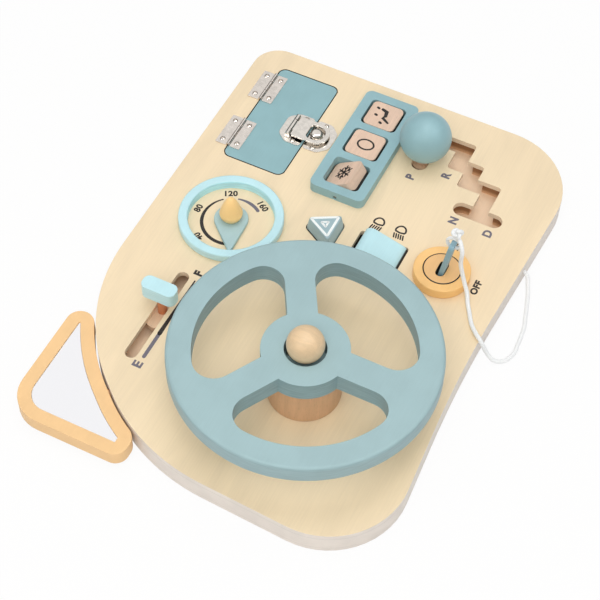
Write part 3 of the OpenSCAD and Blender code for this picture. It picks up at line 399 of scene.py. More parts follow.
def painted(name, shade, gloss=0.5, gap=None, top=None, groove=None, wall=None):
    """Matt paint on wood: the grain shows through as faint ridges, and the coat is a little uneven.

    The gap colour is painted as shade on the walls of the narrow gaps, below top, and in a ring-shaped
    groove. wall is a centre, a radius, a colour of painted shade for the sides inside of it, and how light
    the sides outside of it are, as painted shade."""
    finish = Finish(name)
    grain = finish.noise(1.6, stretch=26, detail=4, rough=0.6)
    coat = finish.noise(0.05, detail=2)
    speck = finish.noise(2.5, detail=2)
    base = finish.shades(grain.spread(0.3, 0.7) * 0.35 + coat.spread(0.3, 0.7) * 0.65, shade, 0.94, 1.03)
    # Painted shade on the sides: the wall colour inside the radius, and the paint made light times as bright
    # outside it
    if wall:
        centre, radius, inner, light = wall
        streaks = finish.noise(0.08, Z, stretch=0.06, detail=2).spread(0.35, 0.65)
        outside = finish.shades(streaks, shade, light - 0.05, light + 0.05)
        inside = finish.shades(streaks, inner, 0.92, 1.08)
        base = finish.mix(finish.steep(), base, finish.mix(finish.around(centre, 0, radius), outside, inside))
    # Painted shade on the walls of the narrow gaps
    if gap:
        base = finish.mix(finish.in_gap(top), base, linear(gap))
    # Painted shade in the groove between the ignition's ring and barrel
    if groove:
        base = finish.mix(finish.around(*groove), base, linear(gap))
    return finish.surface(base, gloss - 0.06 + grain * 0.1 + speck * 0.04, grain * 0.8 + speck * 0.2, 0.03)


def wood(name, shade, along, pores, gloss=0.55, gap=None, top=None):
    """Bare sealed wood, with soft growth bands and short dark pores along the grain.

    The gap colour is painted as a band of shade below top on the sides that face the narrow gaps."""
    finish = Finish(name)
    bands = finish.noise(0.22, along, stretch=9, detail=2, bend=0.6)
    fibre = finish.noise(1.8, along, stretch=24, detail=4, rough=0.6)
    pore = finish.noise(2.6, along, stretch=9, detail=1).spread(0.62, 0.72) * pores
    base = finish.shades(bands.spread(0.3, 0.7) * 0.6 + fibre.spread(0.3, 0.7) * 0.4, shade, 0.89, 1.05)
    base = finish.mix(pore, base, linear(shade, 0.55))
    # A band of painted shade on the sides that face the narrow gaps
    if gap:
        base = finish.mix(finish.in_gap(top) * (finish.xyz()[Z] > top - BLOCK_SHADE_BAND), base, linear(gap))
    return finish.surface(base, gloss + fibre * 0.1, fibre - pore, 0.04)


def metal(name, shade, gloss, waves=0):
    """Plated metal with fine polishing marks, and soft waves of that many millimetres where it is pressed."""
    finish = Finish(name)
    marks = finish.noise(7, stretch=30, detail=3, rough=0.7)
    base = finish.shades(finish.noise(0.3, detail=2).spread(0.3, 0.7), shade, 0.92, 1.04)
    relief, depth = marks, 0.004
    if waves:
        relief, depth = finish.noise(0.16, detail=1) + marks * (depth / waves), waves
    return finish.surface(base, gloss + marks * 0.08, relief, depth, Metallic=1)


def board_wood(name, face, wall, colours):
    """Birch on the face, a sealed pale edge outside, and plain cut wood inside the cut-outs, with shade
    painted under the top panel's lip and on the walls of the narrow gaps.
    """
    finish = Finish(name)
    streak = finish.noise(0.9, stretch=34, detail=4, rough=0.55, bend=0.3)
    figure = finish.noise(0.035, stretch=5, detail=3, bend=1.2)
    fibre = finish.noise(5, stretch=16, detail=2)
    flat = finish.shades(streak.spread(0.25, 0.75) * 0.4 + figure.spread(0.3, 0.7) * 0.6, face, 0.93, 1.04)
    flat = finish.mix(fibre.spread(0.6, 0.85) * 0.14, flat, linear(face, 0.8))
    x, y, z = finish.xyz()
    cloud = finish.noise(0.09, detail=3)
    sealed = finish.shades(cloud.spread(0.3, 0.7), colours.edge, 0.96, 1.03)
    joint = ((z - LIP).unsigned() < JOINT).either((z - BACK_TOP).unsigned() < JOINT)
    sealed = finish.mix(joint * 0.5, sealed, linear(colours.edge, 0.7))
    sawn = finish.shades(finish.noise(1.2, Z, detail=3).spread(0.3, 0.7), wall, 0.9, 1.04)
    # Painted shade on the top of the cut-outs' walls, under the top panel's lip
    sawn = finish.mix(z.spread(*LIP_SHADE) * (z < LIP) * 0.85, sawn, linear(colours.under))
    walls = finish.mix(beyond(x, y, STRAIGHT_RIM + CORNER_RIM), sawn, sealed)
    base = finish.mix(finish.steep(), flat, walls)
    # Painted shade on the walls of the narrow gaps
    base = finish.mix(finish.in_gap(), base, linear(colours.gap))
    return finish.surface(base, 0.5 + streak * 0.12, streak * 0.7 + fibre * 0.3, 0.025)


def mirror_sheet(name, shade):
    """Silvered acrylic with the faint waviness of thin sheet."""
    finish = Finish(name)
    wave = finish.noise(0.05, detail=1)
    haze = finish.noise(0.6, detail=3)
    return finish.surface(finish.shades(haze, shade, 0.98, 1.0), 0.03 + haze * 0.04, wave, 0.02, Metallic=0.8)


def braided(name, shade):
    """Soft cotton cord; the plait itself is in the mesh, and shade is painted darker between its strands."""
    finish = Finish(name)
    strand = finish.node("ShaderNodeAttribute", {"attribute_name": "strand"}, out="Fac")
    fluff = finish.noise(3, detail=4, rough=0.7)
    # Painted shade: darker where the strands lie low
    base = finish.shades(strand * 0.7 + fluff * 0.3, shade, 0.8, 1.02)
    return finish.surface(base, 0.8 + fluff * 0.15, fluff, 0.05)


def printed(name, shade):
    """Screen-printed ink, a little thin in places."""
    finish = Finish(name)
    thin = finish.noise(1.5, detail=4, rough=0.7)
    base = finish.shades(thin.spread(0.35, 0.8) * 0.5, shade, 1, 1.3)
    return finish.surface(base, 0.45 + thin * 0.2, thin, 0.01)


def finish_for(slot, context):
    """The finish of a material slot, made once."""
    colours = context.scene.board_colours
    # The finishes that take the gap colour paint shade with it on the walls of the narrow gaps
    dark = {"gap": colours.gap}
    cut = {"wall": colours.core, "colours": colours}
    maker, shade, options = {
        "birch_face": (board_wood, colours.birch, cut | {"wall": colours.lip}),
        "pale_core": (board_wood, colours.cut_floor, cut),
        "birch_back": (board_wood, colours.cut_floor, cut),
        # The wheel's sides get painted shade, darkest on the walls of its openings
        "teal_paint": (painted, colours.wheel, {"wall": (*WHEEL_INSIDE, colours.wheel_wall_shade, 0.87)}),
        "pointer_paint": (painted, colours.pointer, {}),
        "door_paint": (painted, colours.door, dark),
        "frame_paint": (painted, colours.frame, {}),
        "ball_paint": (painted, colours.frame, {"gloss": 0.4}),
        # The dial ring's inner wall gets painted shading, and the rocker painted shade in its gap
        "aqua_paint": (painted, colours.aqua, dark | {
            "top": FACE - 0.5, "wall": (*DIAL_INSIDE, colours.ring_wall_shade, 0.98)}),
        "beech": (wood, colours.beech, {"along": Z, "pores": 0.3}),
        "natural_ball": (wood, colours.ball, {"along": X, "pores": 0.15, "gloss": 0.35}),
        "honey_paint": (painted, colours.honey, {"gloss": 0.42}),
        "barrel_paint": (painted, colours.barrel, dark | {"gloss": 0.42, "groove": IGNITION_GROOVE}),
        "mustard_paint": (painted, colours.mustard, dark | {"top": FACE, "groove": IGNITION_GROOVE}),
        "block_wood": (wood, colours.block, dark | {"along": Y, "pores": 0.3, "top": BLOCK_TOP}),
        "sage_paint": (painted, colours.sage, dark | {"gloss": 0.4, "top": FACE + 0.1}),
        "key_paint": (painted, colours.key, {}),
        "orange_stain": (wood, colours.orange, {"along": Z, "pores": 0.3}),
        "slider_wood": (wood, colours.plain, {"along": Y, "pores": 0.4}),
        "apricot_paint": (painted, colours.apricot, {}),
        "nickel": (metal, colours.nickel, {"gloss": 0.18}),
        "chrome": (metal, colours.chrome, {"gloss": 0.06, "waves": 0.1}),
        "steel": (metal, colours.steel, {"gloss": 0.3}),
        "cord_white": (braided, colours.cord, {}),
        "mirror_sheet": (mirror_sheet, colours.mirror, {}),
        "dark_ink": (printed, colours.ink, {}),
        "grey_ink": (printed, colours.grey_ink, {}),
        "white_ink": (printed, colours.white_ink, {}),
    }[slot]
    return bpy.data.materials.get(slot + FINISHED) or maker(slot, shade, **options)


# ---- Edges of the CAD nodes ----

def reshape(obj, name, group, fill, *values):
    """Adds a geometry nodes modifier; its group is made once, and fill adds the nodes between its ends."""
    if group not in bpy.data.node_groups:
        made = bpy.data.node_groups.new(group, "GeometryNodeTree")
        for way in ("INPUT", "OUTPUT"):
            made.interface.new_socket("Geometry", in_out=way, socket_type="NodeSocketGeometry")
        tree = Tree(made)
        tree.node("NodeGroupOutput", {}, {"Geometry": fill(tree, tree.node("NodeGroupInput"), *values)})
    obj.modifiers.new(name, "NODES").node_group = bpy.data.node_groups[group]


def weigh_edges(tree, shape, weight):
    """Writes how far each sharp edge is rounded."""
    sharp = tree.node("GeometryNodeInputMeshEdgeAngle") > SHARP
    return tree.node("GeometryNodeStoreNamedAttribute", {"data_type": "FLOAT", "domain": "EDGE"}, {
        "Geometry": shape, "Name": "bevel_weight_edge", "Value": sharp * weight})


def choose_edges(tree, shape, share, lowest):
    """Rounds the edges above lowest: in full round the board's rim, and by share elsewhere."""
    x, y, z = tree.parts(tree.vector("MULTIPLY", tree.node("GeometryNodeInputPosition"), [1 / MM] * 3))
    return weigh_edges(tree, shape, (z > lowest) * (share + beyond(x, y, STRAIGHT_RIM) * (1 - share)))


def choose_corners(tree, shape):
    """Rounds the upright edges, after the points beside the mirror's corners have made room for it."""
    flat = tree.vector("MULTIPLY", tree.node("GeometryNodeInputPosition"), (1, 1, 0))
    for corner, along in MIRROR_CORNERS:
        far = tree.vector("DISTANCE", flat, Vector((*corner, 0)) * MM, out=1)
        near = (far > CORNER_POINT * MM) * (far < CORNER_REACH * MM)
        shape = tree.node("GeometryNodeSetPosition", {}, {
            "Geometry": shape, "Offset": tree.vector("MULTIPLY", Vector((*along, 0)) * MM, near)})
    ends = tree.node("GeometryNodeInputMeshEdgeVertices", out=("Position 1", "Position 2"))
    return weigh_edges(tree, shape, tree.parts(tree.vector("SUBTRACT", *ends))[Z].unsigned() > UPRIGHT * MM)


def smooth_shades(tree, shape):
    """Shades everything smooth but the edges that stay sharp."""
    shape = tree.node("GeometryNodeRemoveAttribute", {}, {"Geometry": shape, "Name": "custom_normal"})
    for domain, smooth in (("FACE", True), ("EDGE", tree.node("GeometryNodeInputMeshEdgeAngle") < SOFT)):
        shape = tree.node("GeometryNodeSetShadeSmooth", {"domain": domain}, {
            "Geometry": shape, "Shade Smooth": smooth})
    return shape


def bevelled(obj, name, width, segments):
    """Rounds the edges by their weights."""
    bevel = obj.modifiers.new(name, "BEVEL")
    bevel.limit_method = "WEIGHT"
    bevel.width = width
    bevel.segments = segments


def welded(obj):
    """Joins points that lie on each other."""
    obj.modifiers.new("weld", "WELD").merge_threshold = WELD * MM


def smoothed(obj):
    """Shades the object smooth between its sharp edges."""
    reshape(obj, "smooth", "smooth_by_angle", smooth_shades)


def dress(context, *nodes, edge=None, inner=None, lowest=-1.0, corners=None, look=None):
    """Gives CAD nodes their finish, or that of look, and rounds their sharp edges above lowest.

    Three of the board's sizes can be named: edge for the edges, inner for those inside the board's rim where
    they differ, and corners for the upright edges alone."""
    sizes = context.scene.board_sizes
    share = getattr(sizes, inner) / getattr(sizes, edge) if inner else 1.0
    for node in nodes:
        obj = NODES[node]
        obj.data.materials.clear()
        obj.data.materials.append(finish_for(look or SLOT_OF[node], context))
        welded(obj)
        if edge:
            facets = obj.modifiers.new("facets", "DECIMATE")
            facets.decimate_type = "DISSOLVE"
            facets.angle_limit = FLAT
            if corners:
                reshape(obj, "upright", "upright_edges", choose_corners)
                bevelled(obj, "corners", getattr(sizes, corners), segments=8)
            reshape(obj, "chooser", f"edges_{share:g}_{lowest:g}", choose_edges, share, lowest)
            bevelled(obj, "bevel", getattr(sizes, edge), segments=3)
        smoothed(obj)
        if edge:
            obj.modifiers.new("level", "WEIGHTED_NORMAL").keep_sharp = True


# ---- Meshes ----

def cad_box(node):
    """The lowest corner, the highest corner and the middle of a CAD node's box."""
    low, high = (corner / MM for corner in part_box(node))
    return low, high, (low + high) / 2


def piece(context, name, vertices, faces, body, slot, turn=None, smooth=True, marks=None):
    """A new mesh that rides on a body; turn places it, and marks are values of its points."""
    mesh = bpy.data.meshes.new(name)
    mesh.from_pydata([Vector(v) * MM for v in vertices], [], faces)
    if turn:
        mesh.transform(turn)
    mesh.polygons.foreach_set("use_smooth", [smooth] * len(mesh.polygons))
    # The marks feed the shade painted between a cord's strands
    if marks:
        mesh.attributes.new("strand", "FLOAT", "POINT").data.foreach_set("value", marks)
    mesh.update()
    obj = bpy.data.objects.new(name, mesh)
    context.scene.collection.objects.link(obj)
    mesh.materials.append(finish_for(slot, context))
    if body:
        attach(obj, body)
    return obj


def at(x, y, z=FACE, turned=0.0, lean=0.0):
    """The place of a mark or fitting on the board: turned about +Z, then leaned about +Y, in degrees."""
    return (Matrix.Translation(Vector((x, y, z)) * MM) @ Matrix.Rotation(math.radians(lean), 4, "Y")
            @ Matrix.Rotation(math.radians(turned), 4, "Z"))


def angles(count, whole=math.tau):
    """Even steps of a full turn, or of the first part of it."""
    return [whole * step / count for step in range(count)]


def beside(points, i, closed):
    """The points before and after point i; beyond the ends of an open line, the point itself."""
    after = (i + 1) % len(points)
    return points[i - 1] if closed or i else points[i], points[after] if closed or after else points[i]


def tube_faces(rings, around, closed=False):
    """Faces of a tube through that many rings of points, with flat ends where it isn't closed."""
    faces = []
    for ring in range(rings if closed else rings - 1):
        first, second = ring * around, (ring + 1) % rings * around
        for j in range(around):
            k = (j + 1) % around
            faces.append((first + j, first + k, second + k, second + j))
    if not closed:
        faces += [tuple(reversed(range(around))), tuple(range((rings - 1) * around, rings * around))]
    return faces


def plaited(context, name, body, centres, radius, strands=8, pitch=7.0, closed=False):
    """A plaited cord along centres, which marks how high its strands lie."""
    around, plait = 24, 0.07
    vertices, heights = [], []
    side, far = None, 0.0
    for i, centre in enumerate(centres):
        before, after = beside(centres, i, closed)
        tangent = (after - before).normalized()
        side = side or tangent.orthogonal().normalized()
        side = (side - tangent * side.dot(tangent)).normalized()
        other = tangent.cross(side)
        if i:
            far += (centre - centres[i - 1]).length
        for angle in angles(around):
            height = max(math.cos(strands * angle / 2 + way * math.tau * far / pitch) ** 2 for way in (1, -1))
            heights.append(height)
            reach = radius * (1 - plait + plait * height)
            vertices.append(centre + (side * math.cos(angle) + other * math.sin(angle)) * reach)
    faces = tube_faces(len(centres), around, closed)
    return piece(context, name, vertices, faces, body, "cord_white", marks=heights)


def coil(context, name, node, body, turns):
    """A wire spring in the place of a CAD spring."""
    low, high, middle = cad_box(node)
    around, steps = 8, 24 * turns
    height, up = high.z - low.z, Vector((0, 0, 1))
    vertices = []
    for step in range(steps + 1):
        turn = math.tau * turns * step / steps
        out = Vector((math.cos(turn), math.sin(turn), 0))
        rise = WIRE + (height - 2 * WIRE) * step / steps
        centre = Vector((middle.x, middle.y, low.z + rise)) + out * ((high.x - low.x) / 2 - WIRE)
        vertices += [centre + (out * math.cos(a) - up * math.sin(a)) * WIRE for a in angles(around)]
    spring = piece(context, name, vertices, tube_faces(steps + 1, around), body, "steel")
    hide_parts(node)
    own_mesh(spring)


def round_cap(end, inner, width):
    """Points round the end of a ribbon that comes from inner."""
    start = math.atan2(end.y - inner.y, end.x - inner.x) - math.pi / 2
    return [end + Vector((math.cos(start + a), math.sin(start + a), 0)) * width / 2
            for a in angles(8, math.pi)[1:]]


def ribbon(points, widths, thick, closed):
    """Vertices and faces of a ribbon of ink along points in the plane, with walls down to its root."""
    points = [Vector((*point, thick)) for point in points]
    count = len(points)
    widths = [widths] * count if isinstance(widths, (int, float)) else widths
    longest_mitre, sharpest = 1.6, 0.3
    left, right = [], []
    for i, point in enumerate(points):
        before, after = beside(points, i, closed)
        ahead = (after - before).normalized()
        across = Vector((-ahead.y, ahead.x, 0)) * widths[i] / 2
        if closed or 0 < i < count - 1:
            bend = (point - before).normalized().dot((after - point).normalized())
            across *= min(longest_mitre, math.sqrt(2 / max(sharpest, 1 + bend)))
        left.append(point + across)
        right.append(point - across)
    if closed:
        top = left + right
        faces = [(count + i, count + (i + 1) % count, (i + 1) % count, i) for i in range(count)]
        rims = [range(count, 2 * count), range(count)[::-1]]
    else:
        top = (right + round_cap(points[-1], points[-2], widths[-1])
               + left[::-1] + round_cap(points[0], points[1], widths[0]))
        faces = [tuple(range(len(top)))]
        rims = [range(len(top))]
    for rim in rims:
        faces += [(len(top) + i, len(top) + j, j, i) for i, j in zip(rim, [*rim[1:], rim[0]])]
    return top + [Vector((v.x, v.y, -INK_ROOT)) for v in top], faces


def ink_lines(context, name, strokes, place, body="board", slot="dark_ink"):
    """Printed lines: strokes are (points, width or widths, closed), on the surface that place gives."""
    vertices, faces = [], []
    for points, widths, closed in strokes:
        more, more_faces = ribbon(points, widths, context.scene.board_sizes.ink / MM, closed)
        faces += [tuple(i + len(vertices) for i in face) for face in more_faces]
        vertices += more
    return piece(context, name, vertices, faces, body, slot, place, smooth=False)


def ink_words(context, name, words, height, place, weight, slot="dark_ink", wide=1.0):
    """Printed letters of that height and weight of line, centred on place."""
    curve = bpy.data.curves.new(name, "FONT")
    curve.body = words
    curve.offset = weight
    curve.resolution_u = 6
    curve.space_character = 1.06
    curve.extrude = 0.05
    holder = bpy.data.objects.new(name, curve)
    context.scene.collection.objects.link(holder)
    context.view_layer.update()
    mesh = bpy.data.meshes.new_from_object(holder.evaluated_get(context.evaluated_depsgraph_get()))
    points = [v.co.copy() for v in mesh.vertices]
    faces = [tuple(p.vertices) for p in mesh.polygons]
    bpy.data.objects.remove(holder)
    bpy.data.curves.remove(curve)
    bpy.data.meshes.remove(mesh)
    low, high = (Vector([end(p[i] for p in points) for i in range(3)]) for end in (min, max))
    middle = (low + high) / 2
    grow = height / (high.y - low.y)
    thick = context.scene.board_sizes.ink / MM
    points = [((p.x - middle.x) * grow * wide, (p.y - middle.y) * grow,
               thick if p.z > middle.z else -INK_ROOT) for p in points]
    return piece(context, name, points, faces, "board", slot, place, smooth=False)


def round_arc(radius, start, end, step=4):
    """Points of an arc about the origin, from start to end degrees, about step degrees apart."""
    count = max(2, int(abs(end - start) / step))
    turns = [math.radians(start + (end - start) * i / count) for i in range(count + 1)]
    return [(radius * math.cos(turn), radius * math.sin(turn)) for turn in turns]


def ramp(limit, value, soft=0.07):
    """1 well below limit and 0 above it."""
    return min(1.0, max(0.0, (limit - value) / soft + 0.5))


def cross_heads(context, stands_for, seats, radius, height):
    """Domed screw heads with a cross recess, one on each seat (x, y, z, twist in degrees)."""
    rings, around, root = 16, 72, 0.3
    slot_width, slot_reach, slot_depth = 0.17, 0.62, 0.75
    vertices, faces = [], []
    for x, y, z, twist in seats:
        for ring in range(rings + 2):
            inner, outer = len(vertices), len(vertices) + around
            share = min(1, ring / rings)
            reach, dome = radius * share, 1 - 0.85 * share ** 3.2
            for step, angle in enumerate(angles(around)):
                a, b = share * abs(math.cos(angle)), share * abs(math.sin(angle))
                arm = max(min(ramp(slot_width, u), ramp(slot_reach, v)) for u, v in ((a, b), (b, a)))
                level = height * (dome - arm * slot_depth * (1 - share / 2)) if ring <= rings else -root
                turn = angle + math.radians(twist)
                vertices.append((x + reach * math.cos(turn), y + reach * math.sin(turn), z + level))
                after = (step + 1) % around
                if ring <= rings:
                    faces.append((inner + step, outer + step, outer + after, inner + after))
    name = stands_for.replace("screws", "heads")
    made = piece(context, name, vertices, faces, BODY_OF[stands_for], "steel")
    made.data.materials[0] = finish_for("nickel", context)
    welded(made)
    smoothed(made)
    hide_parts(stands_for)


# ---- Studio ----

class BOARD_OT_studio(bpy.types.Operator):
    """Adds the camera, the floor, two soft lamps and the pale surroundings"""

    bl_idname = "busy_board.studio"
    bl_label = "Studio"

    def execute(self, context):
        scene = context.scene
        scene.view_settings.view_transform = "Standard"
        lens = bpy.data.cameras.new("camera")
        lens.sensor_fit, lens.sensor_width = "HORIZONTAL", 36
        lens.lens = FOCAL_PIXELS / FRAME_PIXELS * lens.sensor_width
        lens.clip_start, lens.clip_end = 0.05, 20
        camera = bpy.data.objects.new("camera", lens)
        camera.matrix_world = (Matrix.Translation(Vector(CAMERA_PLACE) * MM)
                               @ Matrix(CAMERA_AXES).transposed().to_4x4())
        scene.collection.objects.link(camera)
        scene.camera = camera

        ground = bpy.data.meshes.new("floor")
        corners = [(x * FLOOR_REACH, y * FLOOR_REACH, 0) for x, y in ((-1, -1), (1, -1), (1, 1), (-1, 1))]
        ground.from_pydata(corners, [], [(0, 1, 2, 3)])
        ground.materials.append(self.floor_paint())
        floor = bpy.data.objects.new("floor", ground)
        floor.location.z = -0.3 * MM
        scene.collection.objects.link(floor)

        for name, place, across, energy, gleam, tint in LAMPS:
            lamp = bpy.data.lights.new(name, "AREA")
            lamp.shape, lamp.size, lamp.energy, lamp.specular_factor = "DISK", across, energy, gleam
            lamp.color = tint
            holder = bpy.data.objects.new(name, lamp)
            holder.location = place
            holder.visible_glossy = gleam > 0
            aim = Vector(LAMP_TARGET) - holder.location
            holder.rotation_euler = aim.to_track_quat("-Z", "Y").to_euler()
            scene.collection.objects.link(holder)
        scene.world = self.surroundings()
        return {"FINISHED"}

    def floor_paint(self):
        """Pale paper that looks white but keeps a trace of the object's shadow."""
        finish = Finish("floor_paper")
        base = finish.mix(finish.noise(0.02, detail=3), linear([0.93] * 3), linear([0.95] * 3))
        paper = finish.node("ShaderNodeBsdfDiffuse", {}, {"Color": base})
        white = finish.node("ShaderNodeEmission", {}, {"Color": WHITE, "Strength": 1})
        seen, glossy, through = finish.rays()
        return finish.ends_in(finish.node("ShaderNodeMixShader", {}, {
            0: seen.either(glossy).either(through) * 0.92, 1: paper, 2: white}))

    def surroundings(self):
        """White where it is seen, and in mirrors a sky with bright windows that darkens to the horizon."""
        world = bpy.data.worlds.new("surroundings")
        world.use_nodes = True
        tree = Tree(world.node_tree)
        seen, glossy, through = tree.rays()
        direction = tree.node("ShaderNodeTexCoord", out="Generated")
        horizon, window_light = 0.03, 5
        mirrored = tree.parts(direction)[Z].spread(0.3, 0.75) * (1 - horizon) + horizon
        for window in WINDOWS:
            near = tree.vector("DOT_PRODUCT", direction, window, out=1)
            mirrored = mirrored + near.spread(0.972, 0.985) * window_light
        seen = seen.either(through)
        glow = tree.node("ShaderNodeBackground", {}, {
            "Color": WHITE, "Strength": seen + (1 - seen) * (glossy * mirrored + (1 - glossy) * AMBIENT)})
        tree.node("ShaderNodeOutputWorld", {}, {"Surface": glow})
        return world


# ---- Key cord ----

def smooth_route(points, steps):
    """Points of a smooth curve through the route's points, steps to each stretch."""
    points = [Vector(p) for p in points]
    route = []
    for i in range(len(points) - 1):
        a, b = points[max(i - 1, 0)], points[i]
        c, d = points[i + 1], points[min(i + 2, len(points) - 1)]
        for step in range(steps):
            t = step / steps
            route.append(0.5 * (2 * b + (c - a) * t + (2 * a - 5 * b + 4 * c - d) * t * t
                                + (3 * b - a - 3 * c + d) * t ** 3))
    return route + [points[-1]]


class BOARD_OT_key_cord(bpy.types.Operator):
    """Adds the plaited cord, its overhand knot and the loop through the key"""

    bl_idname = "busy_board.key_cord"
    bl_label = "Key cord"

    def execute(self, context):
        low, high, knot_centre = cad_box("cord_knot")
        last = Vector(CORD_ROUTE[-1])
        short = 0.15
        end = knot_centre + (last - knot_centre).normalized() * ((high.z - low.z) / 2 + short)
        path = smooth_route(CORD_ROUTE + [end], steps=14)
        cord = plaited(context, "plaited_cord", None, path, CORD_WIDTH / 2)

        across, deep, tight, nod, swing = 1.06, 1.5, 0.86, math.radians(62), math.radians(20)
        tilt = Matrix.Rotation(nod, 4, "X") @ Matrix.Rotation(swing, 4, "Z")
        knot_path = [knot_centre + tilt @ Vector((
            (math.sin(t) + 2 * math.sin(2 * t)) * across, (math.cos(t) - 2 * math.cos(2 * t)) * across,
            -math.sin(3 * t) * deep)) for t in angles(150)]
        knot = plaited(context, "overhand_knot", "knot", knot_path, CORD_WIDTH / 2 * tight, closed=True)
        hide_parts("cord_knot")

        low, high, loop_centre = cad_box("key_loop")
        thick = (high.y - low.y) / 2
        mean = (high.z - low.z) / 2 - thick
        lean = math.radians(KEY_LEAN)
        key_axis = Vector((math.sin(lean), 0, math.cos(lean)))
        sideways = Vector((0, 1, 0)).cross(key_axis)
        ring = [loop_centre + (key_axis * math.cos(a) + sideways * math.sin(a)) * mean for a in angles(96)]
        loop = plaited(context, "cord_loop", "key", ring, thick, strands=6, pitch=5.9, closed=True)
        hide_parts("key_loop")

        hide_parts("key_cord")
        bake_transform(cord)
        length = sum((b - a).length for a, b in zip(path, path[1:]))
        [p * MM for p in path]
        return {"FINISHED"}


# ---- Pieces of the board ----

class BOARD_OT_board(bpy.types.Operator):
    """Dresses the three panels of the board and the screws in its back"""

    bl_idname = "busy_board.board"
    bl_label = "Board"

    def execute(self, context):
        dress(context, "top_panel", edge="board_edge", inner="cut_edge", lowest=FACE - 0.1)
        dress(context, "core_frame", "back_panel", "back_screws")
        return {"FINISHED"}


class BOARD_OT_steering(bpy.types.Operator):
    """Dresses the wheel, its column, the horn and what holds them"""

    bl_idname = "busy_board.steering"
    bl_label = "Steering wheel"

    def execute(self, context):
        dress(context, "steering_wheel", edge="wheel_edge")
        dress(context, "steering_column", "column_retainer", "horn_stem", edge="paint_edge")
        dress(context, "horn_ball", "hub_screws", "column_screw", "horn_clip")
        coil(context, "horn_coil", "horn_spring", "wheel", turns=2)
        return {"FINISHED"}


class BOARD_OT_speed_dial(bpy.types.Operator):
    """Dresses the dial's ring, pointer and knob, and prints its scale"""

    bl_idname = "busy_board.speed_dial"
    bl_label = "Speed dial"

    def execute(self, context):
        dress(context, "speed_ring", "pointer_knob", "pointer_axle", "pointer_clip")
        dress(context, "speed_pointer", edge="paint_edge", look="pointer_paint")
        x, y = cad_box("speed_ring")[2].xy
        arc_radius, number_height, weight = 20.8, 5.1, 0.04
        for name, start, end, thin, more, haste, slot in (
                ("speed_arc", 134, 286, 1.0, 1.5, 2.4, "dark_ink"),
                ("speed_arc_fast", 103, 54, 1.2, 1.3, 2, "grey_ink")):
            arc = round_arc(arc_radius, start, end)
            widths = [thin + more * min(1, i / len(arc) * haste) for i in range(len(arc))]
            ink_lines(context, name, [(arc, widths, False)], at(x, y), slot=slot)
        numbers = (("40", 238, 26.6), ("80", 180, 26.2), ("120", 117.6, 25.4), ("160", 57.9, 26))
        for number, angle, radius in numbers:
            turn = math.radians(angle)
            place = at(x + radius * math.cos(turn), y + radius * math.sin(turn), turned=angle - 90)
            ink_words(context, f"speed_{number}", number, number_height, place, weight)
        return {"FINISHED"}


class BOARD_OT_door(bpy.types.Operator):
    """Dresses the door, its hinges and its latch, with cross-head screws"""

    bl_idname = "busy_board.door"
    bl_label = "Door and latch"

    def execute(self, context):
        dress(context, "door", edge="door_edge")
        dress(context, "hinge_frame_leaves", "hinge_door_leaves", edge="metal_edge")
        dress(context, "latch_plate", "latch_catch", "latch_loop", edge="metal_edge", look="chrome")
        dress(context, "latch_pin", look="chrome")
        dress(context, "hinge_pins")
        seat, radius, height = 18.7, 1.9, 0.9
        hinge_rows, latch_rows = (240.95, 221.15, 189.75, 169.95), (215, 191)
        for name, x, rows, twist, step in (
                ("hinge_frame_screws", -149.6, hinge_rows, 17, 31),
                ("hinge_door_screws", -138.1, hinge_rows, 17, 31),
                ("latch_door_screws", -103.4, latch_rows, 12, 40),
                ("latch_catch_screws", -87.4, latch_rows, 12, 40)):
            seats = [(x, y, seat, twist + step * i) for i, y in enumerate(rows)]
            cross_heads(context, name, seats, radius, height)
        return {"FINISHED"}


class BOARD_OT_flip_blocks(bpy.types.Operator):
    """Dresses the button frame and its three flip blocks, and prints their signs"""

    bl_idname = "busy_board.flip_blocks"
    bl_label = "Flip blocks"

    def execute(self, context):
        dress(context, "button_frame", edge="paint_edge")
        dress(context, "block_air", "block_oval", "block_snow", edge="block_edge")
        dress(context, "block_axle")
        line = context.scene.board_sizes.line / MM
        person = [(-3, 5.8), (0.6, 4.6), (1.5, 0), (0.4, -2.2), (5.5, -5.2)]
        strokes = [(person, [2.4, 2.8, 2.4, 1.8, 1.7], False)]
        for x, y in ((-6.5, 5.8), (-5.5, -1.2), (0.5, -7.2)):
            strokes.append(([(x - 0.5, y + 0.2), (x + 0.5, y - 0.2)], 2.0, False))
        aside, half_wide, half_high = 0.2, 6.0, 4.7
        oval = [(aside + half_wide * math.cos(a), half_high * math.sin(a)) for a in angles(40)]
        for name, sign in (("air", strokes), ("oval", [(oval, line * 1.15, True)])):
            low, high, middle = cad_box(f"block_{name}")
            ink_lines(context, f"sign_{name}", sign, at(middle.x, middle.y, high.z), f"{name}_block")
        # The third block is as thick as the first one, and tilted
        low, high, middle = cad_box("block_air")
        on_top = Matrix.Translation(Vector((0.5, 0.75, (high.z - low.z) / 2)) * MM)
        place = at(*cad_box("block_snow")[2], lean=-33) @ on_top
        ink_lines(context, "sign_snow", self.snowflake(line), place, "snow_block")
        return {"FINISHED"}

    def snowflake(self, line):
        """Six arms with a pair of twigs each, a little narrower than high."""
        narrow, heart, tip, fork, twig_tip, twig_side = 0.9, 0.3, 6.8, 3.4, 5.2, 2.1
        strokes = []
        for arm in range(6):
            turn = Matrix.Rotation(math.radians(60 * arm + 90), 2)
            for points, width in (([(heart, 0), (tip, 0)], 1.05), ([(fork, 0), (twig_tip, -twig_side)], 0.95),
                                  ([(fork, 0), (twig_tip, twig_side)], 0.95)):
                points = [turn @ Vector(point) for point in points]
                strokes.append(([(p.x * narrow, p.y) for p in points], line * width, False))
        return strokes


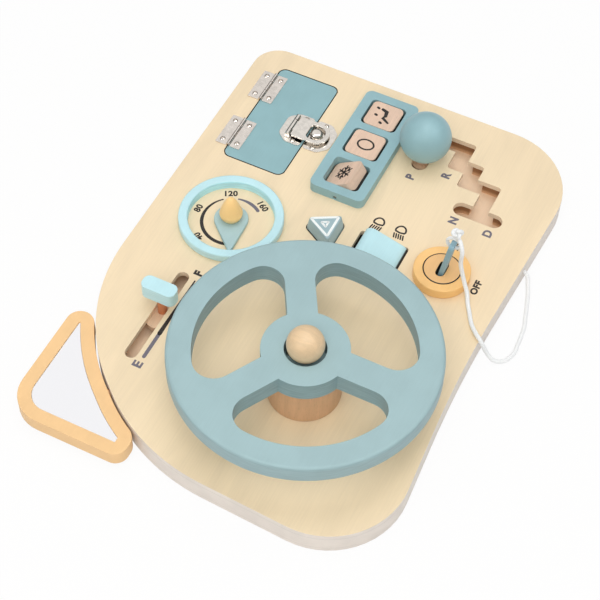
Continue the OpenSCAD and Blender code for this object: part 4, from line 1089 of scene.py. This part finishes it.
class BOARD_OT_gear_lever(bpy.types.Operator):
    """Dresses the gear lever, and prints the gate's letters"""

    bl_idname = "busy_board.gear_lever"
    bl_label = "Gear lever"

    def execute(self, context):
        dress(context, "gear_ball", look="ball_paint")
        dress(context, "gear_stem", "gear_foot", look="slider_wood")
        height, weight = 6.6, 0.045
        for letter, x, y in (("P", -13, 199), ("R", 9.5, 212), ("N", 30.5, 175.5), ("D", 56.5, 175.5)):
            ink_words(context, f"gear_{letter}", letter, height, at(x, y, turned=90), weight, "grey_ink")
        return {"FINISHED"}


class BOARD_OT_fuel_slider(bpy.types.Operator):
    """Dresses the fuel slider, and prints its scale"""

    bl_idname = "busy_board.fuel_slider"
    bl_label = "Fuel slider"

    def execute(self, context):
        dress(context, "fuel_handle", edge="handle_edge")
        dress(context, "fuel_plate", "fuel_stem", edge="cut_edge")
        top, long, thin, more, count = 46, 49, 1.0, 2.1, 12
        full = [(0, top - long * i / count) for i in range(count + 1)]
        widths = [thin + more * i / count for i in range(count + 1)]
        low, place = [(0, -4.4), (0, -24)], at(-105.5, 0)
        ink_lines(context, "fuel_bar", [(full, widths, False)], place)
        ink_lines(context, "fuel_bar_low", [(low, 2.6, False)], place, slot="grey_ink")
        for letter, height, x, y, weight, slot, wide in (("F", 6.4, -106.5, 53, 0.06, "dark_ink", 1),
                                                         ("E", 6.8, -106.3, -31, 0.04, "grey_ink", 1.15)):
            ink_words(context, f"fuel_{letter}", letter, height, at(x, y, turned=90), weight, slot, wide)
        return {"FINISHED"}


class BOARD_OT_buttons(bpy.types.Operator):
    """Dresses the hazard button and the lights rocker, and prints their signs"""

    bl_idname = "busy_board.buttons"
    bl_label = "Buttons"

    def execute(self, context):
        line = context.scene.board_sizes.line / MM
        dress(context, "hazard_button", edge="hazard_edge")
        dress(context, "light_rocker", edge="rocker_edge")
        dress(context, "rocker_pin")
        coil(context, "hazard_coil", "hazard_spring", "board", turns=3)
        top = cad_box("hazard_button")[1].z
        triangles = [(self.triangle(-56.4, -39.3, side=19.0, radius=1.5), 1.8, True),
                     (self.triangle(-48.2, -43.8, side=5.0, radius=0.4), 1.5, True)]
        ink_lines(context, "hazard_triangles", triangles, at(0, 124.9, top), "hazard", "white_ink")
        half_wide, high = 3.7, 4.5
        glass = [(half_wide * math.cos(a), high * math.sin(a)) for a in angles(16, math.pi) + [math.pi]]
        bulb = (glass + [(-3.3, -1.1), (0, -1.7), (3.3, -1.1)], line * 1.1, True)
        for name, x, y, slant in (("lamp_low", -15.2, 149.8, 0.7), ("lamp_high", 1.5, 149.9, -1)):
            beams = [([(u, -3.4), (u - slant, -7)], line * 0.9, False) for u in (-3.4, -1.7, 0, 1.7, 3.4)]
            ink_lines(context, name, [bulb] + beams, at(x, y))
        return {"FINISHED"}

    def triangle(self, apex, base, side, radius):
        """Points of a rounded triangle that points to -X."""
        corners = [Vector(corner) for corner in ((apex, 0), (base, -side / 2), (base, side / 2))]
        points = []
        for i, corner in enumerate(corners):
            start, end = (corner + (other - corner).normalized() * radius
                          for other in beside(corners, i, closed=True))
            for t in (0, 0.25, 0.5, 0.75, 1):
                points.append(start * (1 - t) ** 2 + corner * 2 * t * (1 - t) + end * t * t)
        return points


class BOARD_OT_ignition(bpy.types.Operator):
    """Dresses the ignition ring, its barrel and the key, and prints ON and OFF"""

    bl_idname = "busy_board.ignition"
    bl_label = "Ignition"

    def execute(self, context):
        dress(context, "ignition_ring", edge="ignition_edge")
        dress(context, "ignition_barrel", edge="ignition_edge", look="barrel_paint")
        dress(context, "key", edge="key_edge")
        weight = 0.05
        for word, height, x, y, wide in (("OFF", 5.2, 67.5, 128, 1.05), ("ON", 5.0, 41.6, 154.6, 0.95)):
            ink_words(context, f"ignition_{word}", word, height, at(x, y, turned=90), weight, wide=wide)
        return {"FINISHED"}


class BOARD_OT_side_mirror(bpy.types.Operator):
    """Dresses the side mirror and its dowel"""

    bl_idname = "busy_board.side_mirror"
    bl_label = "Side mirror"

    def execute(self, context):
        dress(context, "mirror_frame", edge="mirror_edge", corners="mirror_corner")
        dress(context, "mirror_plate", "mirror_dowel")
        return {"FINISHED"}


class BOARD_PT_panel(bpy.types.Panel):
    """Lists the board's pieces, sizes and colours"""

    bl_label = "Busy board"
    bl_idname = "BOARD_PT_panel"
    bl_space_type = "VIEW_3D"
    bl_region_type = "UI"
    bl_category = "Busy board"

    def draw(self, context):
        for operator in OPERATORS:
            self.layout.operator(operator.bl_idname)
        for group in (context.scene.board_sizes, context.scene.board_colours):
            for name in group.__annotations__:
                self.layout.prop(group, name)


OPERATORS = (BOARD_OT_studio, BOARD_OT_key_cord, BOARD_OT_board, BOARD_OT_steering, BOARD_OT_speed_dial,
             BOARD_OT_door, BOARD_OT_flip_blocks, BOARD_OT_gear_lever, BOARD_OT_fuel_slider, BOARD_OT_buttons,
             BOARD_OT_ignition, BOARD_OT_side_mirror)
CLASSES = (BoardColours, BoardSizes, *OPERATORS, BOARD_PT_panel)


def register():
    for group in CLASSES:
        bpy.utils.register_class(group)
    bpy.types.Scene.board_colours = bpy.props.PointerProperty(type=BoardColours)
    bpy.types.Scene.board_sizes = bpy.props.PointerProperty(type=BoardSizes)


def unregister():
    del bpy.types.Scene.board_sizes
    del bpy.types.Scene.board_colours
    for group in reversed(CLASSES):
        bpy.utils.unregister_class(group)


def main():
    """Builds everything in order."""
    register()
    for operator in OPERATORS:
        group, name = operator.bl_idname.split(".")
        getattr(getattr(bpy.ops, group), name)()


if __name__ == "__main__":
    main()
